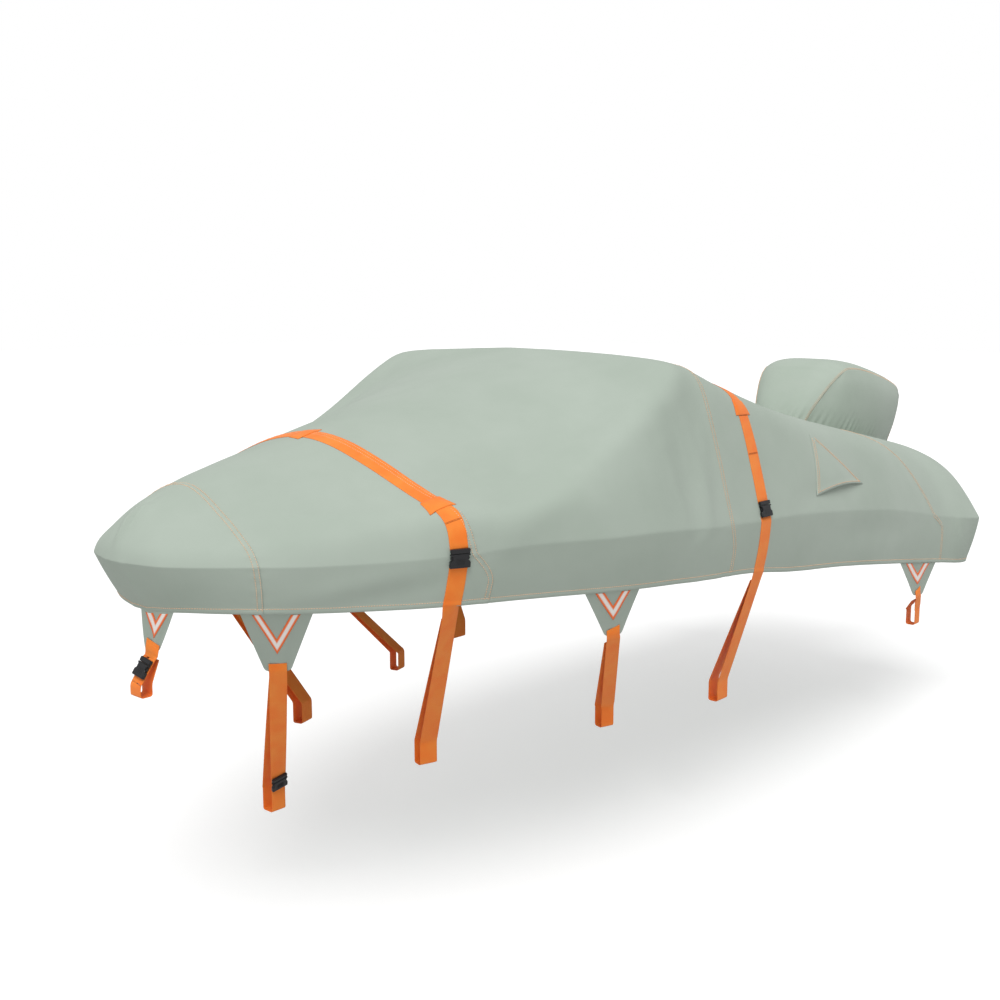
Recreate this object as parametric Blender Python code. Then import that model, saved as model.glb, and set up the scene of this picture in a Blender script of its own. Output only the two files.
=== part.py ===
"""A fitted boat cover as it hangs in use: five sewn panels, two over-the-top straps, six strap
flaps with reflective tape, two side vents and the small matching hood that comes with it.

Metres, +Z up. The bow points to -X, the port side to -Y. The origin is the underside of the cloth
in the middle of its highest edge, where the cover is held up.
"""

import math
from collections import namedtuple

import bmesh
import bpy
import numpy as np
from mathutils import Vector
from mathutils.bvhtree import BVHTree

CLOTH = 0.002  # thickness of the coated polyester
WEBBING = 0.002
GAP = 0.0003  # between neighbouring pieces
LIFTS = [0.0004 * step for step in range(1, 30)]  # tried in turn until a piece is clear

# The tables below count stations from the bow and heights from the ground.
ROOF_STATION = 2.27
ROOF_HEIGHT = 2.222

COLOURS = {
    "cloth": (0.50, 0.55, 0.48),
    "webbing": (1.0, 0.24, 0.03),
    "reflective": (0.9, 0.55, 0.4),
    "buckle": (0.012, 0.012, 0.014),
}

# One row for each cross-section. The gunwale is the fold along the side, the hem lies below it,
# the knuckle is the corner that the cloth is pulled round, and the spine is the middle.
# tight is how close the cloth comes to the knuckle.
Section = namedtuple(
    "Section",
    "gun_x gun_y gun_h hem_x hem_y hem_h knu_x knu_y knu_h spine_x spine_h tight",
)
SECTIONS = [
    Section(0.052, 0.000, 1.535, 0.170, 0.000, 1.338, 0.075, 0.000, 1.660, 0.215, 1.725, 1.0),
    Section(0.070, 0.110, 1.535, 0.178, 0.100, 1.343, 0.088, 0.100, 1.660, 0.225, 1.728, 1.0),
    Section(0.117, 0.225, 1.533, 0.205, 0.200, 1.352, 0.135, 0.190, 1.658, 0.255, 1.742, 1.0),
    Section(0.331, 0.442, 1.528, 0.365, 0.415, 1.352, 0.335, 0.385, 1.652, 0.355, 1.775, 1.6),
    Section(0.518, 0.570, 1.520, 0.545, 0.535, 1.342, 0.520, 0.525, 1.674, 0.540, 1.822, 2.2),
    Section(0.809, 0.746, 1.521, 0.810, 0.700, 1.333, 0.809, 0.705, 1.692, 0.810, 1.880, 3.5),
    Section(0.960, 0.828, 1.528, 0.960, 0.785, 1.331, 0.960, 0.812, 1.706, 0.960, 1.912, 4.0),
    Section(1.260, 0.942, 1.540, 1.260, 0.890, 1.322, 1.260, 0.915, 1.725, 1.260, 1.985, 3.2),
    Section(1.620, 1.041, 1.527, 1.620, 0.990, 1.300, 1.620, 0.965, 1.850, 1.620, 2.070, 3.0),
    Section(1.850, 1.072, 1.520, 1.850, 1.025, 1.285, 1.850, 0.945, 1.960, 1.850, 2.128, 4.0),
    Section(2.050, 1.082, 1.505, 2.050, 1.040, 1.270, 2.050, 0.920, 2.090, 2.050, 2.176, 5.5),
    Section(2.200, 1.087, 1.492, 2.200, 1.050, 1.257, 2.200, 0.905, 2.170, 2.200, 2.210, 8.0),
    Section(2.270, 1.089, 1.487, 2.270, 1.052, 1.252, 2.270, 0.895, 2.196, 2.270, 2.224, 9.0),
    Section(2.340, 1.090, 1.482, 2.340, 1.055, 1.247, 2.340, 0.905, 2.190, 2.340, 2.206, 8.0),
    Section(2.430, 1.092, 1.478, 2.430, 1.056, 1.243, 2.430, 0.930, 2.172, 2.430, 2.172, 6.0),
    Section(2.660, 1.092, 1.465, 2.660, 1.056, 1.222, 2.660, 0.930, 2.108, 2.660, 2.090, 4.5),
    Section(3.020, 1.091, 1.450, 3.020, 1.057, 1.170, 3.020, 0.940, 2.012, 3.020, 1.990, 3.5),
    Section(3.600, 1.075, 1.395, 3.600, 1.050, 1.105, 3.600, 0.950, 1.885, 3.600, 1.865, 2.6),
    Section(4.200, 1.045, 1.320, 4.200, 1.030, 1.020, 4.200, 0.930, 1.785, 4.200, 1.765, 2.1),
    Section(4.930, 1.005, 1.190, 4.930, 1.000, 0.910, 4.930, 0.865, 1.660, 4.930, 1.655, 1.8),
    Section(5.205, 1.060, 1.150, 5.200, 1.020, 0.870, 5.180, 0.870, 1.606, 5.100, 1.625, 1.9),
    Section(5.385, 1.056, 1.130, 5.370, 0.985, 0.850, 5.315, 0.820, 1.562, 5.200, 1.605, 2.1),
    Section(5.435, 0.862, 1.120, 5.415, 0.815, 0.840, 5.375, 0.640, 1.566, 5.225, 1.595, 2.3),
    Section(5.445, 0.420, 1.120, 5.425, 0.420, 0.835, 5.390, 0.340, 1.573, 5.235, 1.592, 2.4),
    Section(5.450, 0.000, 1.120, 5.430, 0.000, 0.835, 5.395, 0.000, 1.574, 5.240, 1.592, 2.4),
]
HEM_BULGE = 0.006  # how far the side band stands out between gunwale and hem

# Seams across the cover: the station on the deck, and how far the seam swings aft between two
# girths.
Seam = namedtuple("Seam", "station drift start end")
SEAMS = [
    Seam(0.338, 0.000, 0.60, 1.60),
    Seam(0.975, 0.115, 0.60, 1.60),
    Seam(2.390, 0.060, 0.60, 1.60),
    Seam(4.400, 0.530, 0.45, 1.25),
]
PANELS = ["panel_bow", "panel_foredeck", "panel_windscreen", "panel_cockpit", "panel_stern"]
PANEL_STEPS = [7, 6, 11, 15, 9]  # mesh lines along each panel
DECK_STEPS = 13  # mesh lines from the spine to the gunwale
BAND_STEPS = 3  # from the gunwale to the hem

# Folds: each runs between two places (station, girth) and rises or sinks in a soft line.
# Girth is 0 on the spine, 1 on the gunwale and 2 on the hem; port is negative.
Fold = namedtuple("Fold", "x0 g0 x1 g1 height width")
FOLDS = [
    Fold(2.24, -0.60, 1.15, -0.96, 0.016, 0.070),
    Fold(2.16, -0.42, 1.30, -0.72, -0.014, 0.090),
    Fold(2.24, 0.60, 1.25, 0.94, 0.014, 0.080),
    Fold(2.18, 0.45, 1.50, 0.74, -0.010, 0.090),
    Fold(2.06, -0.78, 2.16, -1.05, -0.012, 0.060),
    Fold(2.30, -0.74, 2.24, -1.00, 0.009, 0.055),
    Fold(1.05, -0.83, 1.62, -0.77, -0.007, 0.060),
    Fold(2.50, -0.62, 4.30, -0.74, 0.010, 0.090),
    Fold(2.50, 0.62, 4.30, 0.74, 0.010, 0.090),
    Fold(2.60, -0.10, 4.60, 0.05, -0.020, 0.300),
    Fold(3.05, -0.95, 3.85, -0.88, -0.008, 0.060),
    Fold(3.40, -1.40, 4.40, -1.30, -0.006, 0.070),
    Fold(5.10, -1.10, 5.16, -1.90, 0.008, 0.035),
    Fold(5.27, -1.05, 5.31, -1.95, -0.008, 0.035),
    Fold(5.10, 1.10, 5.16, 1.90, 0.008, 0.035),
    Fold(3.20, 1.30, 4.20, 1.20, -0.007, 0.070),
    Fold(0.55, -0.35, 0.95, -0.30, -0.008, 0.150),
]

# Straps over the top: station, width, the girth places of the sewn sleeves that hold them and of
# the buckle, and the loop below: a point of its lower outer edge, and its direction in degrees.
Strap = namedtuple("Strap", "name station width sleeves rail_x rail_y rail_h yaw buckle_girth")
STRAPS = [
    Strap("front", 0.960, 0.078, (-0.765, 0.03, 0.765), 1.205, 0.416, 0.565, -17, 1.04),
    Strap("rear", 2.700, 0.088, (-0.65, 0.0, 0.65), 2.715, 0.880, 0.572, 0, 0.965),
]
SLEEVE_LENGTH = 0.075
SLEEVE_WING = 0.022  # the sleeve is sewn down this far outside the strap
BUCKLE_HEIGHT = 0.072
BUCKLE_THICKNESS = 0.014
BUCKLE_EDGE = 0.003  # how much wider than its webbing a buckle is
BUCKLE_GAP = 0.0007  # between a buckle and the webbing's end
HEM_GIRTH = 1.985
RETURN_GAP = 0.008  # between the webbing and its end that comes back from the loop
RAIL_WIDTH = 0.050
RAIL_HEIGHT = 0.095

# Flaps under the hem: side, station of the middle and half length of the sewn edge, the middle
# and the width of the lower edge, the lower corner of the loop that the webbing ends in, its
# section and its direction in degrees, and the width and depth of the vee of tape. The nose
# flap hangs beside the stem.
Flap = namedtuple(
    "Flap",
    "name side station half foot_x foot_y foot_h foot"
    " rail_x rail_y rail_h rise width yaw vee point",
)
FLAPS = [
    Flap("bow_port", -1, 0.383, 0.14, 0.514, 0.33, 1.094, 0.09,
         0.735, 0.03, 0.405, 0.095, 0.060, 0, 0.180, 0.200),
    Flap("nose", -1, 0.067, 0.10, 0.188, 0.02, 1.181, 0.07,
         0.125, 0.00, 1.020, 0.045, 0.050, -90, 0.130, 0.110),
    Flap("middle_port", -1, 1.667, 0.155, 1.764, 0.93, 1.085, 0.085,
         2.060, 0.69, 0.565, 0.095, 0.050, -17, 0.190, 0.150),
    Flap("middle_starboard", 1, 1.667, 0.155, 1.764, 0.93, 1.085, 0.085,
         2.060, 0.69, 0.565, 0.095, 0.050, -17, 0.190, 0.150),
    Flap("stern_port", -1, 4.600, 0.30, 4.680, 0.985, 0.752, 0.14,
         4.735, 0.965, 0.565, 0.095, 0.050, 0, 0.380, 0.145),
    Flap("stern_starboard", 1, 4.600, 0.30, 4.680, 0.985, 0.752, 0.14,
         4.735, 0.965, 0.565, 0.095, 0.050, 0, 0.380, 0.145),
]
FLAP_WEBBING = 0.066
FLAP_ROOT = 1.93  # the girth at which a flap is sewn inside the hem
VEE_STROKE = 0.076  # how thick the vee is at its point, measured upward
VEE_CLEAR = 0.006  # how far below the hem the vee begins
TAPE = 0.0012
FLAP_SAG = 0.003
SEWN_LENGTH = 0.045  # how far the webbing reaches up the flap
BEYOND_FOOT = 0.014
RETURN_DROP = 0.030  # the webbing's end that comes back stays this far below the flap
BUCKLE_ABOVE_RAIL = 0.065  # above the loop

# The triangular vent on each side: (station, girth) of its apex and of its lower corners.
VENT_APEX = (3.350, 0.705)
VENT_FORE = (3.234, 0.942)
VENT_AFT = (3.812, 0.893)
VENT_BULGE = 0.022

# The small hood: its seams seen from the side, from the front hem over the top to the back hem,
# with the half width of the middle panel there.
HoodPoint = namedtuple("HoodPoint", "x h half")
HOOD_FRONT = [
    HoodPoint(4.760, 1.680, 0.165),
    HoodPoint(4.825, 1.800, 0.208),
    HoodPoint(4.930, 1.920, 0.250),
    HoodPoint(5.015, 1.990, 0.275),
]
HOOD_TOP = [
    HoodPoint(5.015, 1.990, 0.275),
    HoodPoint(5.110, 2.024, 0.288),
    HoodPoint(5.320, 2.006, 0.292),
    HoodPoint(5.600, 1.950, 0.286),
    HoodPoint(5.845, 1.884, 0.272),
    HoodPoint(5.940, 1.815, 0.255),
]
HOOD_BACK = [
    HoodPoint(5.915, 1.500, 0.190),
    HoodPoint(5.950, 1.610, 0.215),
    HoodPoint(5.960, 1.730, 0.238),
    HoodPoint(5.940, 1.815, 0.255),
]
HOOD_HEM_SIDE = [  # the side panel's hem, from front to back
    HoodPoint(4.760, 1.680, 0.165),
    HoodPoint(5.000, 1.646, 0.270),
    HoodPoint(5.300, 1.588, 0.298),
    HoodPoint(5.660, 1.525, 0.272),
    HoodPoint(5.915, 1.500, 0.190),
]
HOOD_CROWN = 0.060  # how far the middle panel rises between its seams
HOOD_SIDE_BULGE = 0.034
HOOD_STEPS = 7
HOOD_DROP = 0.010  # the hood is lowered by up to this much until it rests on the deck


def place(station, offset, height):
    """A point from the tables in the part's own frame."""
    return np.array((station - ROOF_STATION, offset, height - ROOF_HEIGHT))


def unit(vector):
    return vector / max(np.linalg.norm(vector), 1e-12)


# ---------------------------------------------------------------- the cover's surface

ODD_COLUMNS = [Section._fields.index(name) for name in ("gun_y", "hem_y", "knu_y")]
ROWS = np.array(SECTIONS)
ROW_PLACES = np.concatenate(
    [[0.0], np.cumsum(np.linalg.norm(np.diff(ROWS[:, :3], axis=0), axis=1))]
)


def mirrored(row):
    copy = row.copy()
    copy[ODD_COLUMNS] *= -1
    return copy


def extended_rows():
    """The rows with one mirrored row past each end, so that the cloth runs smoothly round them."""
    rows = np.vstack([mirrored(ROWS[1]), ROWS, mirrored(ROWS[-2])])
    first, last = ROW_PLACES[1], 2 * ROW_PLACES[-1] - ROW_PLACES[-2]
    return rows, np.concatenate([[-first], ROW_PLACES, [last]])


ALL_ROWS, ALL_PLACES = extended_rows()
SLOPES = (ALL_ROWS[2:] - ALL_ROWS[:-2]) / (ALL_PLACES[2:] - ALL_PLACES[:-2])[:, None]


def section_at(t):
    """The section's values at the distance t along the gunwale, by cubic interpolation."""
    i = int(np.clip(np.searchsorted(ROW_PLACES, t) - 1, 0, len(ROWS) - 2))
    span = ROW_PLACES[i + 1] - ROW_PLACES[i]
    s = (t - ROW_PLACES[i]) / span
    a, b = ROWS[i], ROWS[i + 1]
    return (
        (2 * s**3 - 3 * s**2 + 1) * a
        + (s**3 - 2 * s**2 + s) * span * SLOPES[i]
        + (3 * s**2 - 2 * s**3) * b
        + (s**3 - s**2) * span * SLOPES[i + 1]
    )


def distance_at_station(station):
    """The distance along the gunwale at which it reaches a station."""
    low, high = 0.0, ROW_PLACES[-1]
    for _ in range(50):
        middle = (low + high) / 2
        if section_at(middle)[0] < station:
            low = middle
        else:
            high = middle
    return (low + high) / 2


ARC = np.linspace(0, 1, 65)


def deck_curve(row):
    """Points from the spine to the gunwale: a conic pulled to the knuckle, with a smooth crown."""
    s = Section(*row)
    start = np.array((s.spine_x, 0.0, s.knu_h))
    corner = np.array((s.knu_x, s.knu_y, s.knu_h))
    end = np.array((s.gun_x, s.gun_y, s.gun_h))
    weights = np.stack([(1 - ARC) ** 2, 2 * ARC * (1 - ARC) * s.tight, ARC**2])
    points = (weights.T @ np.stack([start, corner, end])) / weights.sum(axis=0)[:, None]
    along = 1 - points[:, 1] / s.knu_y if s.knu_y > 0.02 else 1 - ARC
    across = 1 - np.clip(along, 0, 1)
    points[:, 2] += (s.spine_h - s.knu_h) * (1 - np.clip(across, 0, 1) ** 2) ** 2
    return points


def bare_point(t, girth):
    """The surface before its folds. girth runs from 0 on the spine over 1 to 2 on the hem."""
    row = section_at(t)
    g = abs(girth)
    if g <= 1:
        points = deck_curve(row)
        steps = np.linalg.norm(np.diff(points, axis=0), axis=1)
        travel = np.concatenate([[0.0], np.cumsum(steps)])
        target = g * travel[-1]
        point = np.array([np.interp(target, travel, points[:, k]) for k in range(3)])
    else:
        s = Section(*row)
        gunwale = np.array((s.gun_x, s.gun_y, s.gun_h))
        hem = np.array((s.hem_x, s.hem_y, s.hem_h))
        point = gunwale + (g - 1) * (hem - gunwale)
        outward = unit(np.array((s.gun_x - s.spine_x, s.gun_y, 0.0)))
        point = point + outward * HEM_BULGE * math.sin(math.pi * (g - 1))
    side = -1 if girth < 0 else 1
    return place(point[0], side * point[1], point[2])


def raw_normal(point_at, t, girth):
    step = 0.004
    low, high = max(t - step, 0.0), min(t + step, ROW_PLACES[-1])
    along = point_at(high, girth) - point_at(low, girth)
    inner, outer = girth - 0.02, min(girth + 0.02, 2.0)
    across = point_at(t, outer) - point_at(t, max(inner, -2.0))
    return unit(np.cross(along, across))


def at_ends(normal, t, girth):
    """On the stem and on the middle of the stern the cloth faces straight fore and aft."""
    if t < 1e-6 or t > ROW_PLACES[-1] - 1e-6:
        normal = unit(np.array((normal[0], 0.0, normal[2])))
    return normal


FOLD_ENDS = [
    (
        bare_point(distance_at_station(f.x0), f.g0),
        bare_point(distance_at_station(f.x1), f.g1),
        f,
    )
    for f in FOLDS
]


def relief(point):
    """How far the folds lift the cloth here."""
    lift = 0.0
    for start, end, fold in FOLD_ENDS:
        run = end - start
        share = np.dot(point - start, run) / np.dot(run, run)
        nearest = start + run * min(max(share, 0.0), 1.0)
        distance = np.linalg.norm(point - nearest)
        if distance < 3 * fold.width:
            fade = math.sin(math.pi * min(max(0.12 + 0.76 * share, 0.0), 1.0))
            lift += fold.height * fade * math.exp(-((distance / fold.width) ** 2))
    return lift


def cover_point(t, girth):
    point = bare_point(t, girth)
    normal = at_ends(raw_normal(bare_point, t, girth), t, girth)
    return point + normal * relief(point)


def cover_normal(t, girth):
    return at_ends(raw_normal(cover_point, t, girth), t, girth)


def girth_lines():
    """The girth of each mesh line, from the port hem over the spine to the starboard hem."""
    deck = [i / DECK_STEPS for i in range(DECK_STEPS)]
    band = [1 + i / BAND_STEPS for i in range(BAND_STEPS + 1)]
    half = deck + band
    return [-g for g in reversed(half[1:])] + half


GIRTHS = girth_lines()


# ---------------------------------------------------------------- meshes and materials


def material(kind):
    found = bpy.data.materials.get(kind)
    if found:
        return found
    made = bpy.data.materials.new(kind)
    made.use_nodes = True
    shader = made.node_tree.nodes["Principled BSDF"]
    shader.inputs["Base Color"].default_value = (*COLOURS[kind], 1)
    shader.inputs["Roughness"].default_value = 0.45 if kind == "buckle" else 0.85
    return made


def add_object(name, mesh_data, kind):
    mesh = bpy.data.meshes.new(name)
    mesh_data.to_mesh(mesh)
    mesh_data.free()
    mesh.materials.append(material(kind))
    mesh.shade_smooth()
    mesh.set_sharp_from_angle(angle=math.radians(40))
    obj = bpy.data.objects.new(name, mesh)
    COVER.objects.link(obj)
    return obj


def sheet_mesh(outer, normals, thickness, joined_start=False, joined_end=False):
    """A closed thin sheet below a grid of outer points.

    A joined end is folded on itself: its two halves are the same points, so they are welded.
    """
    outer, normals = np.asarray(outer), np.asarray(normals)
    inner = outer - normals * thickness
    rows, columns = outer.shape[:2]
    mesh = bmesh.new()
    top = [[mesh.verts.new(p) for p in line] for line in outer]
    under = [[mesh.verts.new(p) for p in line] for line in inner]
    for i in range(rows - 1):
        for j in range(columns - 1):
            mesh.faces.new((top[i][j], top[i + 1][j], top[i + 1][j + 1], top[i][j + 1]))
            mesh.faces.new((under[i][j], under[i][j + 1], under[i + 1][j + 1], under[i + 1][j]))
        for j in (0, columns - 1):
            mesh.faces.new((top[i][j], under[i][j], under[i + 1][j], top[i + 1][j]))
    for i, joined in ((0, joined_start), (rows - 1, joined_end)):
        if joined:
            continue
        for j in range(columns - 1):
            mesh.faces.new((top[i][j], top[i][j + 1], under[i][j + 1], under[i][j]))
    bmesh.ops.remove_doubles(mesh, verts=mesh.verts, dist=1e-5)
    bmesh.ops.recalc_face_normals(mesh, faces=mesh.faces)
    return mesh


def seated(name, grids_at, thickness, kind, others):
    """A sheet raised in small steps until it is clear of its neighbours, and then by the gap."""
    for lift in LIFTS:
        mesh = sheet_mesh(*grids_at(lift), thickness)
        if not any(BVHTree.FromBMesh(mesh).overlap(other) for other in others):
            break
        mesh.free()
    mesh = sheet_mesh(*grids_at(lift + GAP), thickness)
    return add_object(name, mesh, kind)


def tree_of(objects):
    """One search tree over the facets of these objects."""
    points, faces = [], []
    for obj in objects:
        start = len(points)
        points += [obj.matrix_world @ v.co for v in obj.data.vertices]
        for polygon in obj.data.polygons:
            ring = [start + v for v in polygon.vertices]
            faces += [(ring[0], ring[k], ring[k + 1]) for k in range(1, len(ring) - 1)]
            if len(ring) == 4:
                faces.append((ring[0], ring[1], ring[3]))
                faces.append((ring[1], ring[2], ring[3]))
    return BVHTree.FromPolygons(points, faces)


def on_facets(tree, point, normal, lift):
    """The place this far above the outermost facet on the line through the point."""
    reach = 0.04
    hit = tree.ray_cast(Vector(point + normal * reach), Vector(-normal), 2 * reach)
    base = np.array(hit[0]) if hit[0] is not None else point
    return base + normal * lift


# ---------------------------------------------------------------- panels and vents


def seam_distance(seam, girth):
    """Where a seam crosses this girth: straight over the deck, swinging aft at the side."""
    down = min(max((abs(girth) - seam.start) / (seam.end - seam.start), 0.0), 1.0)
    return distance_at_station(seam.station + seam.drift * down * down * (3 - 2 * down))


def build_panels():
    panels = []
    for index, name in enumerate(PANELS):
        first, last = index == 0, index == len(PANELS) - 1
        steps = PANEL_STEPS[index]
        outer, normals = [], []
        for i in range(steps + 1):
            line, faces = [], []
            for girth in GIRTHS:
                start = 0.0 if first else seam_distance(SEAMS[index - 1], girth) + GAP / 2
                end = ROW_PLACES[-1] if last else seam_distance(SEAMS[index], girth) - GAP / 2
                share = i / steps
                if first:
                    share = share**1.2
                t = start + (end - start) * share
                line.append(cover_point(t, girth))
                faces.append(cover_normal(t, girth))
            outer.append(line)
            normals.append(faces)
        mesh = sheet_mesh(outer, normals, CLOTH, first, last)
        panels.append(add_object(name, mesh, "cloth"))
    return panels


def vent_grids(tree, side, lift, steps=6):
    outer, normals = [], []
    for i in range(steps + 1):
        down = 0.03 + 0.97 * i / steps
        fore = [a + (b - a) * down for a, b in zip(VENT_APEX, VENT_FORE)]
        aft = [a + (b - a) * down for a, b in zip(VENT_APEX, VENT_AFT)]
        line, faces = [], []
        for j in range(steps + 1):
            across = j / steps
            t = distance_at_station(fore[0] + (aft[0] - fore[0]) * across)
            girth = side * (fore[1] + (aft[1] - fore[1]) * across)
            normal = cover_normal(t, girth)
            swell = VENT_BULGE * down**1.5 * math.sin(math.pi * across)
            line.append(on_facets(tree, cover_point(t, girth), normal, lift + CLOTH + swell))
            faces.append(normal)
        outer.append(line)
        normals.append(faces)
    return outer, normals


def build_vents(tree):
    """A sewn-on triangle that bulges over the hole it shelters, open along its lower edge."""
    for side, label in ((-1, "port"), (1, "starboard")):
        seated(
            f"vent_{label}", lambda lift: vent_grids(tree, side, lift), CLOTH, "cloth", [tree]
        )


# ---------------------------------------------------------------- straps over the top


def girth_beyond(t, girth, distance, towards):
    """The girth at this distance along the cloth, up towards 0 or down towards 2."""
    side = -1 if girth < 0 else 1
    here, low, high = cover_point(t, girth), abs(girth), float(towards)
    for _ in range(30):
        middle = (low + high) / 2
        if np.linalg.norm(cover_point(t, side * middle) - here) < distance:
            low = middle
        else:
            high = middle
    return side * (low + high) / 2


def facet_row(tree, t, girth, reaches, lift):
    """Points on the cloth at these steps fore and aft from the middle of a strap."""
    normal = cover_normal(t, girth)
    middle = cover_point(t, girth)
    return [on_facets(tree, middle + reach, normal, lift) for reach in reaches], normal


def build_top_strap(tree, strap):
    t = distance_at_station(strap.station)
    room = BUCKLE_HEIGHT / 2 + BUCKLE_GAP
    limit = girth_beyond(t, strap.buckle_girth, room, 0)
    lines = sorted({round(abs(g) + add, 6) for g in GIRTHS for add in (0.0, 0.5 / DECK_STEPS)})
    half_lines = [g for g in lines if g < limit - 0.01] + [limit]
    girths = [-g for g in reversed(half_lines[1:])] + half_lines
    reaches = [np.array((strap.width / 2 * share, 0.0, 0.0)) for share in (-1, 0, 1)]

    def grids(lift):
        rows = [facet_row(tree, t, girth, reaches, lift + WEBBING) for girth in girths]
        return [row[0] for row in rows], [[row[1]] * 3 for row in rows]

    return seated(f"strap_{strap.name}_top", grids, WEBBING, "webbing", [tree])


def sleeve_grids(tree, strap_tree, strap, centre, lift):
    t = distance_at_station(strap.station)
    half = strap.width / 2
    across = [-half - SLEEVE_WING, -half - 0.006, -half, 0.0, half, half + 0.006, half + SLEEVE_WING]
    pace = np.linalg.norm(cover_point(t, centre + 0.01) - cover_point(t, centre)) / 0.01
    reach = SLEEVE_LENGTH / 2 / pace
    outer, normals = [], []
    for girth in [centre + reach * share for share in (-1, -0.6, -0.2, 0.2, 0.6, 1)]:
        normal = cover_normal(t, girth)
        middle = cover_point(t, girth)
        line = []
        for offset in across:
            along = np.array((offset, 0.0, 0.0))
            if abs(offset) > half + 0.01:
                line.append(on_facets(tree, middle + along, normal, lift + CLOTH))
                continue
            inside = np.array((min(max(offset, 0.001 - half), half - 0.001), 0.0, 0.0))
            raised = on_facets(strap_tree, middle + inside, normal, lift + CLOTH)
            line.append(raised + along - inside)
        outer.append(line)
        normals.append([normal] * len(line))
    return outer, normals


def build_sleeves(tree, strap, strap_tree):
    """Cloth loops sewn to the cover, which keep the strap in its place."""
    for label, centre in zip(("port", "middle", "starboard"), strap.sleeves):
        seated(
            f"sleeve_{strap.name}_{label}",
            lambda lift: sleeve_grids(tree, strap_tree, strap, centre, lift),
            CLOTH, "webbing", [tree, strap_tree],
        )


def buckle_frame(t, girth):
    """Centre and axes of a buckle on the cover: fore and aft, up the side and outward."""
    normal = cover_normal(t, girth)
    middle = cover_point(t, girth)
    up = unit(cover_point(t, girth - math.copysign(0.05, girth)) - middle)
    along = unit(np.cross(up, normal))
    return middle, along, unit(np.cross(normal, along)), normal


def buckle_mesh(centre, along, up, normal, width):
    """A side-release buckle: a rounded body with two waists where the prongs show."""
    waist = 0.80
    outline = [
        (-1.0, -1.0), (1.0, -1.0), (1.0, -0.30), (waist, -0.18), (waist, 0.22), (1.0, 0.34),
        (1.0, 1.0), (-1.0, 1.0), (-1.0, 0.34), (-waist, 0.22), (-waist, -0.18), (-1.0, -0.30),
    ]
    mesh = bmesh.new()
    corners = [
        centre + along * x * width / 2 + up * y * BUCKLE_HEIGHT / 2 for x, y in outline
    ]
    face = mesh.faces.new([mesh.verts.new(p) for p in corners])
    lifted = bmesh.ops.extrude_face_region(mesh, geom=[face])
    moved = [item for item in lifted["geom"] if isinstance(item, bmesh.types.BMVert)]
    bmesh.ops.translate(mesh, verts=moved, vec=Vector(normal * BUCKLE_THICKNESS))
    bmesh.ops.recalc_face_normals(mesh, faces=mesh.faces)
    rims = [e for e in mesh.edges if e.calc_face_angle(0.0) > 1.2]
    bmesh.ops.bevel(mesh, geom=rims, offset=0.0025, segments=2, affect="EDGES")
    return mesh


def build_buckle(name, centre, along, up, normal, width, others):
    """A buckle raised in small steps until it is clear of what it lies on."""
    for lift in LIFTS:
        mesh = buckle_mesh(centre + normal * lift, along, up, normal, width)
        if not any(BVHTree.FromBMesh(mesh).overlap(other) for other in others):
            break
        mesh.free()
    bmesh.ops.translate(mesh, verts=mesh.verts, vec=Vector(normal * GAP))
    return add_object(name, mesh, "buckle")


def rounded_path(corners, aims, radius=0.012, steps=3, pieces=6):
    """A path through the corners, rounded at each, with the direction of its width at each point."""
    points, ways = [corners[0]], [aims[0]]
    for k in range(1, len(corners)):
        before, corner = corners[k - 1], corners[k]
        run = corner - before
        length = np.linalg.norm(run)
        if length > 8 * radius:
            for piece in range(1, pieces):
                share = piece / pieces
                points.append(before + run * share)
                ways.append(aims[k - 1] + (aims[k] - aims[k - 1]) * share)
        if k == len(corners) - 1:
            break
        after = corners[k + 1]
        arm_in = unit(before - corner) * min(radius, length / 2.5)
        arm_out = unit(after - corner) * min(radius, np.linalg.norm(after - corner) / 2.5)
        for step in range(steps + 1):
            s = step / steps
            start, end = (1 - s) ** 2 * (corner + arm_in), s**2 * (corner + arm_out)
            points.append(start + 2 * s * (1 - s) * corner + end)
            ways.append(aims[k])
    points.append(corners[-1])
    ways.append(aims[-1])
    return points, ways


def free_rows(corners, aims, width, outward):
    """Rows of webbing along a free path: left and right edge, and the face's normal."""
    path, ways = rounded_path(corners, aims)
    rows = []
    for index, point in enumerate(path):
        before, after = path[max(index - 1, 0)], path[min(index + 1, len(path) - 1)]
        direction = unit(after - before)
        side = unit(ways[index] - direction * np.dot(ways[index], direction))
        half = side * width / 2
        rows.append(([point - half, point + half], unit(np.cross(direction, side)) * outward))
    return rows


def row_spot(rows, target):
    """Where laid webbing comes nearest to a point: its middle, direction, side and face."""
    middles = [(row[0][0] + row[0][1]) / 2 for row in rows]
    best = None
    for k in range(1, len(middles)):
        run = middles[k] - middles[k - 1]
        share = min(max(np.dot(target - middles[k - 1], run) / np.dot(run, run), 0.0), 1.0)
        spot = middles[k - 1] + run * share
        distance = np.linalg.norm(spot - target)
        if best is None or distance < best[0]:
            first, second = (row[0][1] - row[0][0] for row in rows[k - 1 : k + 1])
            side = unit(first + (second - first) * share)
            face = unit(rows[k - 1][1] + (rows[k][1] - rows[k - 1][1]) * share)
            best = (distance, spot, unit(run), side, face)
    return best[1:]


def rail_corners(rail_x, rail_y, rail_h, side, yaw, width, height=RAIL_HEIGHT):
    """Bottom and top corners of the loop's section, on its outer and on its inner face."""
    across = np.array((math.sin(yaw), -math.cos(yaw), 0.0))
    across[1] *= -side
    outer_low = place(rail_x, side * rail_y, rail_h)
    inner_low = outer_low - across * width
    rise = np.array((0.0, 0.0, height))
    return outer_low, inner_low, inner_low + rise, outer_low + rise


def rail_direction(yaw, side):
    return np.array((math.cos(yaw), -side * math.sin(yaw), 0.0))


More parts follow.
